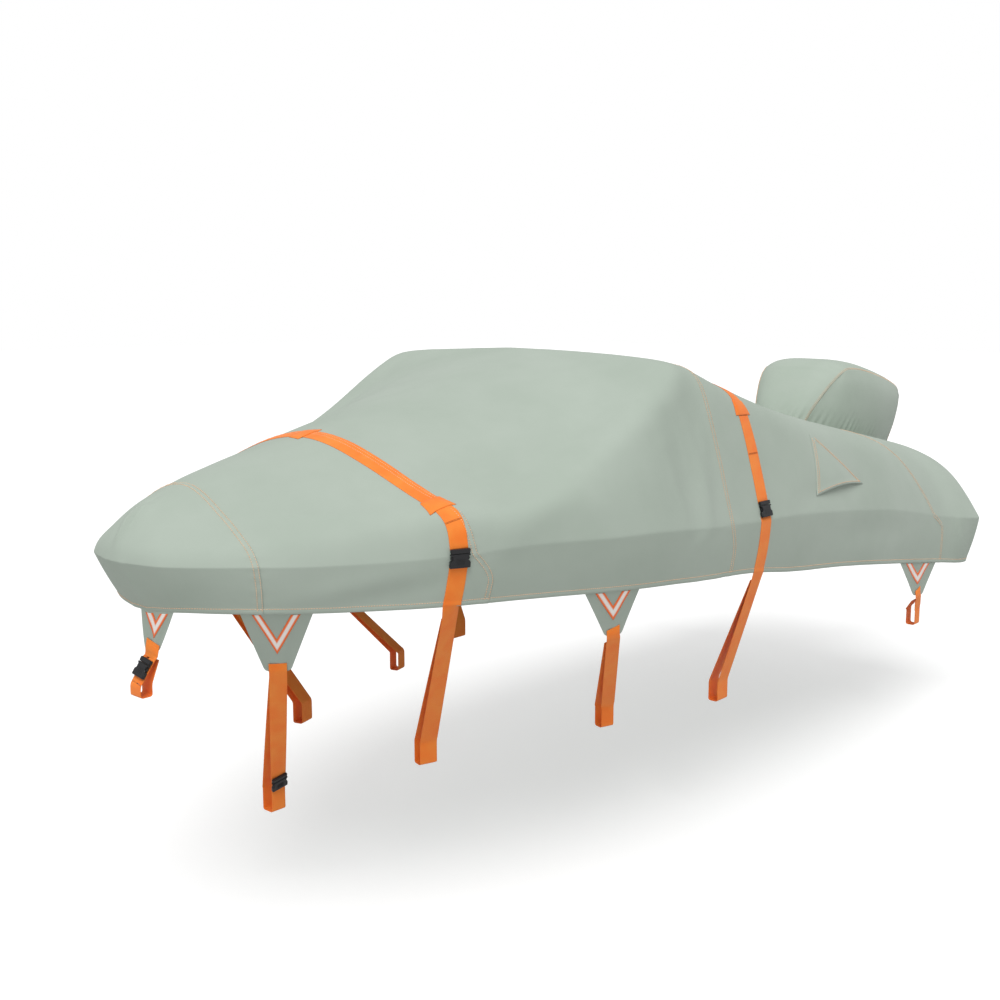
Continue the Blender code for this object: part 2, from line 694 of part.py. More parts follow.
def build_strap_ends(tree, strap, top_tree):
    """On each side a buckle at the gunwale and webbing down over the hem into a loop."""
    t = distance_at_station(strap.station)
    yaw = math.radians(strap.yaw)
    for side, label in ((-1, "port"), (1, "starboard")):
        girth = side * strap.buckle_girth
        width = strap.width + BUCKLE_EDGE
        centre, along, up, normal = buckle_frame(t, girth)
        name = f"buckle_{strap.name}_{label}"
        build_buckle(name, centre, along, up, normal, width, [tree, top_tree])
        if along[0] < 0:
            along = -along
        start = girth_beyond(t, girth, BUCKLE_HEIGHT / 2 + BUCKLE_GAP, 2)
        lines = [g for g in GIRTHS if abs(start) + 0.03 < g < 1.99]
        girths = [abs(start)] + sorted(lines + [(a + b) / 2 for a, b in zip(lines, lines[1:])])
        half = along * strap.width / 2
        outer_low, inner_low, inner_top, outer_top = rail_corners(
            strap.rail_x, strap.rail_y, strap.rail_h, side, yaw, RAIL_WIDTH
        )
        way = rail_direction(yaw, side)

        def grids(lift):
            rows = [
                facet_row(tree, t, side * g, (-half, half), lift + WEBBING)
                for g in girths + [HEM_GIRTH]
            ]
            hem = (rows[-1][0][0] + rows[-1][0][1]) / 2
            below = hem + (outer_top - hem) * 0.06
            back = below - unit(rows[-1][1]) * RETURN_GAP
            corners = [below, outer_top, outer_low, inner_low, inner_top, back]
            aims = [along, way, way, way, way, along]
            rows += free_rows(corners, aims, strap.width, -side)
            return [row[0] for row in rows], [[row[1]] * 2 for row in rows]

        seated(f"strap_{strap.name}_{label}", grids, WEBBING, "webbing", [tree])


# ---------------------------------------------------------------- flaps under the hem


def flap_frame(flap):
    """The flap's lower edge: its middle, its direction, and the flap's outward face."""
    middle = distance_at_station(flap.station)
    fore = cover_point(middle - flap.half, flap.side * 2.0)
    aft = cover_point(middle + flap.half, flap.side * 2.0)
    edge = unit(aft - fore)
    foot = place(flap.foot_x, flap.side * flap.foot_y, flap.foot_h)
    face = unit(np.cross(foot - (fore + aft) / 2, edge)) * -flap.side
    return foot, edge, face


def flap_point(flap, across, down, inset=0.001):
    """A point of the flap: its root follows the hem, its foot is pulled down by its webbing."""
    foot, edge, face = flap_frame(flap)
    t = distance_at_station(flap.station) + flap.half * across
    girth = flap.side * FLAP_ROOT
    root = cover_point(t, girth) - cover_normal(t, girth) * (CLOTH + inset)
    end = foot + edge * across * flap.foot / 2
    sag = FLAP_SAG * math.sin(math.pi * down) * (1 - across**2)
    return root + (end - root) * down - face * sag


def flap_spot(flap, offset, drop):
    """A point of the flap at an offset along the hem and a drop, both in metres."""
    root, end = flap_point(flap, 0.0, 0.0), flap_point(flap, 0.0, 1.0)
    down = drop / np.linalg.norm(end - root)
    half = flap.half + (flap.foot / 2 - flap.half) * down
    return flap_point(flap, offset / half, down)


def build_flap(flap, tree):
    downs = [0.0, 0.2, 0.45, 0.72, 1.0]
    acrosses = [-1 + i / 4 for i in range(9)]
    face = flap_frame(flap)[2]

    def grids(inset):
        outer = [[flap_point(flap, a, d, inset) for a in acrosses] for d in downs]
        return outer, [[face] * len(acrosses)] * len(downs)

    return seated(f"flap_{flap.name}", grids, CLOTH, "cloth", [tree])


def vee_start(flap):
    """How far below the flap's root its vee begins, clear of the hem."""
    t = distance_at_station(flap.station)
    root, hem = cover_point(t, flap.side * FLAP_ROOT), cover_point(t, flap.side * 2.0)
    return np.linalg.norm(hem - root) + VEE_CLEAR


def build_vee(flap, flap_tree):
    """Reflective tape folded into a vee and sewn on the flap, its point down."""
    start = vee_start(flap)
    face = flap_frame(flap)[2]
    shares = (-1.0, -0.67, -0.33, 0.0, 0.33, 0.67, 1.0)

    def grids(lift):
        outer = []
        for share in shares:
            low = start + flap.point * (1 - abs(share))
            inner_share = share * (1 - VEE_STROKE / flap.point)
            inner_low = start + (flap.point - VEE_STROKE) * (1 - abs(share))
            line = []
            for part, drop in ((share, low), (inner_share, inner_low)):
                point = flap_spot(flap, part * flap.vee / 2, drop)
                line.append(on_facets(flap_tree, point, face, lift + TAPE))
            outer.append(line)
        return outer, [[face] * 2] * len(shares)

    return seated(f"vee_{flap.name}", grids, TAPE, "reflective", [flap_tree])


def build_flap_webbing(flap, flap_tree, vee_tree):
    """Webbing sewn on the flap's foot, down into a loop and back up behind."""
    yaw = math.radians(flap.yaw)
    outer_low, inner_low, inner_top, outer_top = rail_corners(
        flap.rail_x, flap.rail_y, flap.rail_h, flap.side, yaw, flap.width, flap.rise
    )
    foot, edge, face = flap_frame(flap)
    length = np.linalg.norm(foot - flap_point(flap, 0.0, 0.0))
    sewn_place = flap_spot(flap, 0.0, length - SEWN_LENGTH)
    beyond = foot + unit(foot - sewn_place) * BEYOND_FOOT
    back = foot + unit(foot - sewn_place) * RETURN_DROP - face * RETURN_GAP * 1.5
    way = rail_direction(yaw, flap.side)
    aims = [edge, edge, way, way, way, way, edge]
    laid = []

    def grids(lift):
        sewn = on_facets(flap_tree, sewn_place, face, WEBBING + lift)
        front = beyond + face * (WEBBING + lift)
        corners = [sewn, front, outer_top, outer_low, inner_low, inner_top, back]
        laid[:] = free_rows(corners, aims, FLAP_WEBBING, -flap.side)
        return [row[0] for row in laid], [[row[1]] * 2 for row in laid]

    name = f"strap_flap_{flap.name}"
    webbing = seated(name, grids, WEBBING, "webbing", [flap_tree, vee_tree])
    if flap.name in ("bow_port", "nose"):
        near = outer_top - unit(outer_top - foot) * BUCKLE_ABOVE_RAIL
        centre, along, across, out = row_spot(laid, near)
        name = f"buckle_flap_{flap.name}"
        width = FLAP_WEBBING + BUCKLE_EDGE
        build_buckle(name, centre, across, -along, out, width, [tree_of([webbing])])


# ---------------------------------------------------------------- small hood


def curve_at(points, share):
    """A point of a hood outline, by smooth interpolation over its points."""
    rows = np.array(points)
    count = len(rows) - 1
    position = min(max(share, 0.0), 1.0) * count
    i = min(int(position), count - 1)
    s = position - i
    before, after = rows[max(i - 1, 0)], rows[min(i + 2, count)]
    a, b = rows[i], rows[i + 1]
    slope_a = (b - before) / (2 if i > 0 else 1)
    slope_b = (after - a) / (2 if i + 1 < count else 1)
    return (
        (2 * s**3 - 3 * s**2 + 1) * a
        + (s**3 - 2 * s**2 + s) * slope_a
        + (3 * s**2 - 2 * s**3) * b
        + (s**3 - s**2) * slope_b
    )


def hood_outline(share):
    """The middle panel's outline from the front hem over the top to the back hem."""
    if share < 0.25:
        return curve_at(HOOD_FRONT, share / 0.25)
    if share < 0.75:
        return curve_at(HOOD_TOP, (share - 0.25) / 0.5)
    return curve_at(HOOD_BACK, 1 - (share - 0.75) / 0.25)


def hood_side_point(a, b):
    """The side panel between its hem and the outline: a Coons patch with a soft bulge."""
    hem, top = curve_at(HOOD_HEM_SIDE, a), curve_at(HOOD_TOP, a)
    front, back = curve_at(HOOD_FRONT, b), curve_at(HOOD_BACK, b)
    corner = [np.array(HOOD_FRONT[0]), np.array(HOOD_BACK[0])]
    corner += [np.array(HOOD_TOP[0]), np.array(HOOD_TOP[-1])]
    flat = (1 - b) * hem + b * top + (1 - a) * front + a * back
    flat -= (1 - a) * (1 - b) * corner[0] + a * (1 - b) * corner[1]
    flat -= (1 - a) * b * corner[2] + a * b * corner[3]
    bulge = HOOD_SIDE_BULGE * math.sin(math.pi * a) * math.sin(math.pi * min(b, 1.0)) ** 0.8
    return flat[0], flat[2] + bulge, flat[1]


def grid_normals(grid):
    """Unit normals of a grid of points from its neighbours."""
    along = np.gradient(grid, axis=0)
    across = np.gradient(grid, axis=1)
    normals = np.cross(along, across)
    return normals / np.maximum(np.linalg.norm(normals, axis=2, keepdims=True), 1e-12)


def hood_band_point(share, across):
    """The middle panel between its two seams, rising softly in the middle."""
    step = 0.01
    before, after = hood_outline(max(share - step, 0.0)), hood_outline(min(share + step, 1.0))
    run_x, run_h = after[0] - before[0], after[1] - before[1]
    length = math.hypot(run_x, run_h)
    rise = HOOD_CROWN * (1 - across**4)
    x, h, half = hood_outline(share)
    return place(x - run_h / length * rise, half * across, h + run_x / length * rise)


def build_hood(tree):
    steps = HOOD_STEPS
    shares = [0.25 * i / steps for i in range(steps)]
    shares += [0.25 + 0.5 * i / (2 * steps) for i in range(2 * steps)]
    shares += [0.75 + 0.25 * i / steps for i in range(steps + 1)]
    widths = [-1 + i / 3 for i in range(7)]
    band = np.array([[hood_band_point(share, w) for w in widths] for share in shares])
    band_normals = -grid_normals(band)
    if band_normals[2 * steps, 3][2] < 0:
        band_normals = -band_normals
    side = np.array(
        [
            [
                place(x, y, h)
                for x, y, h in (hood_side_point(i / (2 * steps), j / steps) for j in range(steps + 1))
            ]
            for i in range(2 * steps + 1)
        ]
    )
    side_normals = grid_normals(side)
    if side_normals[steps, steps // 2][1] < 0:
        side_normals = -side_normals
    rim = [(0, j) for j in range(steps)]
    rim += [(i, steps) for i in range(2 * steps)]
    rim += [(2 * steps, j) for j in range(steps, -1, -1)]
    for k, (i, j) in enumerate(rim):
        shared = unit(band_normals[k, -1] + side_normals[i, j])
        before, after = band[max(k - 1, 0), -1], band[min(k + 1, len(rim) - 1), -1]
        tangent = unit(after - before)
        shift = unit(np.cross(tangent, shared)) * GAP / 2
        if shift[1] < 0:
            shift = -shift
        mirror = np.array((1, -1, 1))
        band_normals[k, -1], band_normals[k, 0] = shared, shared * mirror
        side_normals[i, j] = shared
        side[i, j] = band[k, -1] + shift
        band[k, 0] = (band[k, -1] - shift) * mirror
        band[k, -1] = band[k, -1] - shift
    pieces = {
        "hood_middle": (band, band_normals),
        "hood_starboard": (side, side_normals),
        "hood_port": (side * mirror, side_normals * mirror),
    }
    for lift in LIFTS:
        down = np.array((0.0, 0.0, lift - HOOD_DROP))
        meshes = [sheet_mesh(points + down, faces, CLOTH) for points, faces in pieces.values()]
        if not any(BVHTree.FromBMesh(mesh).overlap(tree) for mesh in meshes):
            break
    for name, mesh in zip(pieces, meshes):
        bmesh.ops.translate(mesh, verts=mesh.verts, vec=(0.0, 0.0, GAP))
        add_object(name, mesh, "cloth")


# ---------------------------------------------------------------- the whole cover

for existing in list(bpy.data.objects):
    bpy.data.objects.remove(existing)
COVER = bpy.data.collections.new("boat_cover")
bpy.context.scene.collection.children.link(COVER)

PANEL_OBJECTS = build_panels()
PANEL_TREE = tree_of(PANEL_OBJECTS)
build_vents(PANEL_TREE)
for each in STRAPS:
    top_strap = build_top_strap(PANEL_TREE, each)
    strap_tree = tree_of([top_strap])
    build_sleeves(PANEL_TREE, each, strap_tree)
    build_strap_ends(PANEL_TREE, each, strap_tree)
for each in FLAPS:
    flap_tree = tree_of([build_flap(each, PANEL_TREE)])
    vee_tree = tree_of([build_vee(each, flap_tree)])
    build_flap_webbing(each, flap_tree, vee_tree)
build_hood(PANEL_TREE)
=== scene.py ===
"""The looks of a fitted boat cover: fine cloth, stitched seams, webbing, buckles and reflective
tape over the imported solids, in a plain white studio.

Metres, +Z up, in the frame of the solids: the bow points to -X and the port side to -Y. The
tables count stations from the bow and heights from the ground, as the part's source does.
"""

import math
from collections import namedtuple

import bmesh
import bpy
import numpy as np
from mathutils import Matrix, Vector, noise
from mathutils.bvhtree import BVHTree


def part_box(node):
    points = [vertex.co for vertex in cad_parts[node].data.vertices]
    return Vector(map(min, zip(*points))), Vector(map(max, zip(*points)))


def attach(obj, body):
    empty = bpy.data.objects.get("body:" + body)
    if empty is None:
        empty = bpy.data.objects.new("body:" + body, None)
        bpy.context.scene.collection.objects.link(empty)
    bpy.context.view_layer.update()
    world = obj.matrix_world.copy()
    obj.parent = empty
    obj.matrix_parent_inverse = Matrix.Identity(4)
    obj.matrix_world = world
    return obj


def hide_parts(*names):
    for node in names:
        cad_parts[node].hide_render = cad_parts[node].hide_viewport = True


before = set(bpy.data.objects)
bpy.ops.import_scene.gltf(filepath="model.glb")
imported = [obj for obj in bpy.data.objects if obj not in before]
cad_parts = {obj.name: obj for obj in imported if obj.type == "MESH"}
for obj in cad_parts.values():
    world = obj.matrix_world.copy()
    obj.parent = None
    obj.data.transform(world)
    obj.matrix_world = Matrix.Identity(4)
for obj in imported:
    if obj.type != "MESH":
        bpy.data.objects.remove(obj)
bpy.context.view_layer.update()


ROOF_STATION = 2.27
ROOF_HEIGHT = 2.222

# One row for each cross-section. The gunwale is the fold along the side, the hem lies below it,
# the knuckle is the corner that the cloth is pulled round, and the spine is the middle.
# tight is how close the cloth comes to the knuckle.
Section = namedtuple(
    "Section",
    "gun_x gun_y gun_h hem_x hem_y hem_h knu_x knu_y knu_h spine_x spine_h tight",
)
SECTIONS = [
    Section(0.052, 0.000, 1.535, 0.170, 0.000, 1.338, 0.075, 0.000, 1.660, 0.215, 1.725, 1.0),
    Section(0.070, 0.110, 1.535, 0.178, 0.100, 1.343, 0.088, 0.100, 1.660, 0.225, 1.728, 1.0),
    Section(0.117, 0.225, 1.533, 0.205, 0.200, 1.352, 0.135, 0.190, 1.658, 0.255, 1.742, 1.0),
    Section(0.331, 0.442, 1.528, 0.365, 0.415, 1.352, 0.335, 0.385, 1.652, 0.355, 1.775, 1.6),
    Section(0.518, 0.570, 1.520, 0.545, 0.535, 1.342, 0.520, 0.525, 1.674, 0.540, 1.822, 2.2),
    Section(0.809, 0.746, 1.521, 0.810, 0.700, 1.333, 0.809, 0.705, 1.692, 0.810, 1.880, 3.5),
    Section(0.960, 0.828, 1.528, 0.960, 0.785, 1.331, 0.960, 0.812, 1.706, 0.960, 1.912, 4.0),
    Section(1.260, 0.942, 1.540, 1.260, 0.890, 1.322, 1.260, 0.915, 1.725, 1.260, 1.985, 3.2),
    Section(1.620, 1.041, 1.527, 1.620, 0.990, 1.300, 1.620, 0.965, 1.850, 1.620, 2.070, 3.0),
    Section(1.850, 1.072, 1.520, 1.850, 1.025, 1.285, 1.850, 0.945, 1.960, 1.850, 2.128, 4.0),
    Section(2.050, 1.082, 1.505, 2.050, 1.040, 1.270, 2.050, 0.920, 2.090, 2.050, 2.176, 5.5),
    Section(2.200, 1.087, 1.492, 2.200, 1.050, 1.257, 2.200, 0.905, 2.170, 2.200, 2.210, 8.0),
    Section(2.270, 1.089, 1.487, 2.270, 1.052, 1.252, 2.270, 0.895, 2.196, 2.270, 2.224, 9.0),
    Section(2.340, 1.090, 1.482, 2.340, 1.055, 1.247, 2.340, 0.905, 2.190, 2.340, 2.206, 8.0),
    Section(2.430, 1.092, 1.478, 2.430, 1.056, 1.243, 2.430, 0.930, 2.172, 2.430, 2.172, 6.0),
    Section(2.660, 1.092, 1.465, 2.660, 1.056, 1.222, 2.660, 0.930, 2.108, 2.660, 2.090, 4.5),
    Section(3.020, 1.091, 1.450, 3.020, 1.057, 1.170, 3.020, 0.940, 2.012, 3.020, 1.990, 3.5),
    Section(3.600, 1.075, 1.395, 3.600, 1.050, 1.105, 3.600, 0.950, 1.885, 3.600, 1.865, 2.6),
    Section(4.200, 1.045, 1.320, 4.200, 1.030, 1.020, 4.200, 0.930, 1.785, 4.200, 1.765, 2.1),
    Section(4.930, 1.005, 1.190, 4.930, 1.000, 0.910, 4.930, 0.865, 1.660, 4.930, 1.655, 1.8),
    Section(5.205, 1.060, 1.150, 5.200, 1.020, 0.870, 5.180, 0.870, 1.606, 5.100, 1.625, 1.9),
    Section(5.385, 1.056, 1.130, 5.370, 0.985, 0.850, 5.315, 0.820, 1.562, 5.200, 1.605, 2.1),
    Section(5.435, 0.862, 1.120, 5.415, 0.815, 0.840, 5.375, 0.640, 1.566, 5.225, 1.595, 2.3),
    Section(5.445, 0.420, 1.120, 5.425, 0.420, 0.835, 5.390, 0.340, 1.573, 5.235, 1.592, 2.4),
    Section(5.450, 0.000, 1.120, 5.430, 0.000, 0.835, 5.395, 0.000, 1.574, 5.240, 1.592, 2.4),
]
HEM_BULGE = 0.006  # how far the side band stands out between gunwale and hem

# Seams across the cover: the station on the deck, and how far the seam swings aft between two
# girths.
Seam = namedtuple("Seam", "station drift start end")
SEAMS = [
    Seam(0.338, 0.000, 0.60, 1.60),
    Seam(0.975, 0.115, 0.60, 1.60),
    Seam(2.390, 0.060, 0.60, 1.60),
    Seam(4.400, 0.530, 0.45, 1.25),
]
PANELS = ["panel_bow", "panel_foredeck", "panel_windscreen", "panel_cockpit", "panel_stern"]

# Folds: each runs between two places (station, girth) and rises or sinks in a soft line.
# Girth is 0 on the spine, 1 on the gunwale and 2 on the hem; port is negative.
Fold = namedtuple("Fold", "x0 g0 x1 g1 height width")
FOLDS = [
    Fold(2.24, -0.60, 1.15, -0.96, 0.016, 0.070),
    Fold(2.16, -0.42, 1.30, -0.72, -0.014, 0.090),
    Fold(2.24, 0.60, 1.25, 0.94, 0.014, 0.080),
    Fold(2.18, 0.45, 1.50, 0.74, -0.010, 0.090),
    Fold(2.06, -0.78, 2.16, -1.05, -0.012, 0.060),
    Fold(2.30, -0.74, 2.24, -1.00, 0.009, 0.055),
    Fold(1.05, -0.83, 1.62, -0.77, -0.007, 0.060),
    Fold(2.50, -0.62, 4.30, -0.74, 0.010, 0.090),
    Fold(2.50, 0.62, 4.30, 0.74, 0.010, 0.090),
    Fold(2.60, -0.10, 4.60, 0.05, -0.020, 0.300),
    Fold(3.05, -0.95, 3.85, -0.88, -0.008, 0.060),
    Fold(3.40, -1.40, 4.40, -1.30, -0.006, 0.070),
    Fold(5.10, -1.10, 5.16, -1.90, 0.008, 0.035),
    Fold(5.27, -1.05, 5.31, -1.95, -0.008, 0.035),
    Fold(5.10, 1.10, 5.16, 1.90, 0.008, 0.035),
    Fold(3.20, 1.30, 4.20, 1.20, -0.007, 0.070),
    Fold(0.55, -0.35, 0.95, -0.30, -0.008, 0.150),
]

# Straps over the top: station, width, the girth places of the sewn sleeves that hold them and of
# the buckle, and the loop below: a point of its lower outer edge, and its direction in degrees.
Strap = namedtuple("Strap", "name station width sleeves rail_x rail_y rail_h yaw buckle_girth")
STRAPS = [
    Strap("front", 0.960, 0.078, (-0.765, 0.03, 0.765), 1.205, 0.416, 0.565, -17, 1.04),
    Strap("rear", 2.700, 0.088, (-0.65, 0.0, 0.65), 2.715, 0.880, 0.572, 0, 0.965),
]
SLEEVE_LENGTH = 0.075
SLEEVE_WING = 0.022  # the sleeve is sewn down this far outside the strap
BUCKLE_HEIGHT = 0.072
BUCKLE_THICKNESS = 0.014
BUCKLE_EDGE = 0.003  # how much wider than its webbing a buckle is
HEM_GIRTH = 1.985
RETURN_GAP = 0.008  # between the webbing and its end that comes back from the loop
RAIL_WIDTH = 0.050
RAIL_HEIGHT = 0.095

# Flaps under the hem: side, station of the middle and half length of the sewn edge, the middle
# and the width of the lower edge, the lower corner of the loop that the webbing ends in, its
# section and its direction in degrees, and the width and depth of the vee of tape. The nose
# flap hangs beside the stem.
Flap = namedtuple(
    "Flap",
    "name side station half foot_x foot_y foot_h foot"
    " rail_x rail_y rail_h rise width yaw vee point",
)
FLAPS = [
    Flap("bow_port", -1, 0.383, 0.14, 0.514, 0.33, 1.094, 0.09,
         0.735, 0.03, 0.405, 0.095, 0.060, 0, 0.180, 0.200),
    Flap("nose", -1, 0.067, 0.10, 0.188, 0.02, 1.181, 0.07,
         0.125, 0.00, 1.020, 0.045, 0.050, -90, 0.130, 0.110),
    Flap("middle_port", -1, 1.667, 0.155, 1.764, 0.93, 1.085, 0.085,
         2.060, 0.69, 0.565, 0.095, 0.050, -17, 0.190, 0.150),
    Flap("middle_starboard", 1, 1.667, 0.155, 1.764, 0.93, 1.085, 0.085,
         2.060, 0.69, 0.565, 0.095, 0.050, -17, 0.190, 0.150),
    Flap("stern_port", -1, 4.600, 0.30, 4.680, 0.985, 0.752, 0.14,
         4.735, 0.965, 0.565, 0.095, 0.050, 0, 0.380, 0.145),
    Flap("stern_starboard", 1, 4.600, 0.30, 4.680, 0.985, 0.752, 0.14,
         4.735, 0.965, 0.565, 0.095, 0.050, 0, 0.380, 0.145),
]
FLAP_WEBBING = 0.066
FLAP_ROOT = 1.93  # the girth at which a flap is sewn inside the hem
VEE_STROKE = 0.076  # how thick the vee is at its point, measured upward
VEE_CLEAR = 0.006  # how far below the hem the vee begins
FLAP_SAG = 0.003
SEWN_LENGTH = 0.045  # how far the webbing reaches up the flap
BEYOND_FOOT = 0.014
RETURN_DROP = 0.030  # the webbing's end that comes back stays this far below the flap
BUCKLE_ABOVE_RAIL = 0.065  # above the loop

# The triangular vent on each side: (station, girth) of its apex and of its lower corners.
VENT_APEX = (3.350, 0.705)
VENT_FORE = (3.234, 0.942)
VENT_AFT = (3.812, 0.893)
VENT_BULGE = 0.022

# The small hood: its seams seen from the side, from the front hem over the top to the back hem,
# with the half width of the middle panel there.
HoodPoint = namedtuple("HoodPoint", "x h half")
HOOD_FRONT = [
    HoodPoint(4.760, 1.680, 0.165),
    HoodPoint(4.825, 1.800, 0.208),
    HoodPoint(4.930, 1.920, 0.250),
    HoodPoint(5.015, 1.990, 0.275),
]
HOOD_TOP = [
    HoodPoint(5.015, 1.990, 0.275),
    HoodPoint(5.110, 2.024, 0.288),
    HoodPoint(5.320, 2.006, 0.292),
    HoodPoint(5.600, 1.950, 0.286),
    HoodPoint(5.845, 1.884, 0.272),
    HoodPoint(5.940, 1.815, 0.255),
]
HOOD_BACK = [
    HoodPoint(5.915, 1.500, 0.190),
    HoodPoint(5.950, 1.610, 0.215),
    HoodPoint(5.960, 1.730, 0.238),
    HoodPoint(5.940, 1.815, 0.255),
]
HOOD_HEM_SIDE = [  # the side panel's hem, from front to back
    HoodPoint(4.760, 1.680, 0.165),
    HoodPoint(5.000, 1.646, 0.270),
    HoodPoint(5.300, 1.588, 0.298),
    HoodPoint(5.660, 1.525, 0.272),
    HoodPoint(5.915, 1.500, 0.190),
]
HOOD_CROWN = 0.060  # how far the middle panel rises between its seams
HOOD_SIDE_BULGE = 0.034


CREASES = [  # smaller folds than the solids carry, in the same columns
    Fold(2.10, -0.52, 1.00, -0.80, -0.011, 0.055),
    Fold(1.45, -0.72, 0.98, -0.82, 0.006, 0.045),
    Fold(0.10, -0.62, 0.95, -0.80, 0.007, 0.050),
    Fold(0.95, -0.80, 1.60, -0.90, 0.005, 0.050),
    Fold(0.40, -1.75, 0.80, -1.25, 0.005, 0.045),
    Fold(0.62, -1.80, 1.00, -1.40, -0.005, 0.045),
    Fold(2.02, -0.70, 2.10, -1.02, 0.006, 0.035),
    Fold(2.10, -0.66, 2.20, -1.02, -0.005, 0.030),
    Fold(2.22, -0.70, 2.26, -0.98, 0.005, 0.030),
    Fold(0.057, -1.00, 0.057, -2.00, 0.007, 0.016),
    Fold(0.057, 1.00, 0.057, 2.00, 0.005, 0.016),
]


# ---------------------------------------------------------------- the cover's surface

THIN_CLOTH = 0.0012  # the visible sheet
CLOTH_LAP = 0.013  # how far neighbouring panels overlap at a seam, to each side of its middle
LAP_RISE = 0.0016
STITCH_OFFSET = 0.0085  # of each row of stitches from the middle of its seam
HEM_DEPTH = 0.020  # the turned hem with its cord
HEM_RISE = 0.0026
HEM_STITCH = 0.023
FINE_STEP = 0.004
COARSE_STEP = 0.016
REACH = 0.05  # of the rays that lay a piece on the cloth

ODD_COLUMNS = [Section._fields.index(name) for name in ("gun_y", "hem_y", "knu_y")]
ROWS = np.array(SECTIONS)
ROW_PLACES = np.concatenate(
    [[0.0], np.cumsum(np.linalg.norm(np.diff(ROWS[:, :3], axis=0), axis=1))]
)
LENGTH = ROW_PLACES[-1]
ARC = (1 - np.cos(np.pi * np.linspace(0, 1, 129))) / 2


def mirrored(row):
    copy = row.copy()
    copy[ODD_COLUMNS] *= -1
    return copy


def row_slopes():
    """Slopes of the rows, with one mirrored row past each end, so that the cloth runs on."""
    rows = np.vstack([mirrored(ROWS[1]), ROWS, mirrored(ROWS[-2])])
    places = np.concatenate([[-ROW_PLACES[1]], ROW_PLACES, [2 * LENGTH - ROW_PLACES[-2]]])
    return (rows[2:] - rows[:-2]) / (places[2:] - places[:-2])[:, None]


SLOPES = row_slopes()


def section_rows(t):
    """The section's values at each distance t along the gunwale, by cubic interpolation."""
    i = np.clip(np.searchsorted(ROW_PLACES, t) - 1, 0, len(ROWS) - 2)
    span = (ROW_PLACES[i + 1] - ROW_PLACES[i])[:, None]
    s = (t - ROW_PLACES[i])[:, None] / span
    return (
        (2 * s**3 - 3 * s**2 + 1) * ROWS[i]
        + (s**3 - 2 * s**2 + s) * span * SLOPES[i]
        + (3 * s**2 - 2 * s**3) * ROWS[i + 1]
        + (s**3 - s**2) * span * SLOPES[i + 1]
    )


T_SAMPLES = np.linspace(0, LENGTH, 6001)
STATION_SAMPLES = np.maximum.accumulate(section_rows(T_SAMPLES)[:, 0])


def distance_at(station):
    return np.interp(station, STATION_SAMPLES, T_SAMPLES)


def unit(vectors):
    vectors = np.asarray(vectors, float)
    return vectors / np.maximum(np.linalg.norm(vectors, axis=-1, keepdims=True), 1e-12)


def place(station, offset, height):
    return np.stack(
        np.broadcast_arrays(station - ROOF_STATION, offset, height - ROOF_HEIGHT), axis=-1
    ).astype(float)


def deck_points(rows, share):
    """Places at a share of the way from the spine to the gunwale, one for each section row."""
    gunwale, knuckle, tight = rows[:, 0:3], rows[:, 6:9], rows[:, 11]
    start = np.stack([rows[:, 9], np.zeros(len(rows)), rows[:, 8]], axis=1)
    weights = np.stack(
        [
            np.tile((1 - ARC) ** 2, (len(rows), 1)),
            2 * ARC * (1 - ARC) * tight[:, None],
            np.tile(ARC**2, (len(rows), 1)),
        ],
        axis=2,
    )
    corners = np.stack([start, knuckle, gunwale], axis=1)
    points = weights @ corners / weights.sum(axis=2)[..., None]
    knuckle_y = knuckle[:, 1:2]
    across = np.where(knuckle_y > 0.02, points[..., 1] / np.maximum(knuckle_y, 1e-6), ARC)
    crown = (rows[:, 10] - rows[:, 8])[:, None]
    points[..., 2] += crown * (1 - np.clip(across, 0, 1) ** 2) ** 2
    travel = np.cumsum(np.linalg.norm(np.diff(points, axis=1), axis=2), axis=1)
    travel = np.hstack([np.zeros((len(rows), 1)), travel])
    target = share * travel[:, -1]
    k = np.clip((travel <= target[:, None]).sum(axis=1) - 1, 0, len(ARC) - 2)
    n = np.arange(len(rows))
    part = (target - travel[n, k]) / (travel[n, k + 1] - travel[n, k])
    return points[n, k] + (points[n, k + 1] - points[n, k]) * part[:, None]


def bare(t, girth):
    """The surface without its folds: girth is 0 on the spine, 1 on the gunwale, 2 on the hem."""
    shape = np.broadcast(t, girth).shape
    t, girth = (np.broadcast_to(value, shape).ravel() for value in (t, girth))
    found = np.empty((len(t), 3))
    for first in range(0, len(t), 4000):
        part = slice(first, first + 4000)
        rows, g = section_rows(t[part]), np.abs(girth[part])
        on_deck = deck_points(rows, np.minimum(g, 1))
        down = np.maximum(g - 1, 0)[:, None]
        gunwale, hem = rows[:, 0:3], rows[:, 3:6]
        outward = np.stack([rows[:, 0] - rows[:, 9], rows[:, 1], np.zeros(len(rows))], axis=1)
        on_band = gunwale + down * (hem - gunwale)
        on_band = on_band + unit(outward) * HEM_BULGE * np.sin(np.pi * down)
        found[part] = np.where(g[:, None] <= 1, on_deck, on_band)
    side = np.where(girth < 0, -1, 1)
    return place(found[:, 0], side * found[:, 1], found[:, 2]).reshape(*shape, 3)


def fold_ends(folds):
    """Each fold's two ends on the bare surface."""
    starts = bare(distance_at(np.array([f.x0 for f in folds])), np.array([f.g0 for f in folds]))
    ends = bare(distance_at(np.array([f.x1 for f in folds])), np.array([f.g1 for f in folds]))
    return list(zip(starts, ends, folds))


MAIN_FOLDS = fold_ends(FOLDS)
SMALL_FOLDS = fold_ends(CREASES)


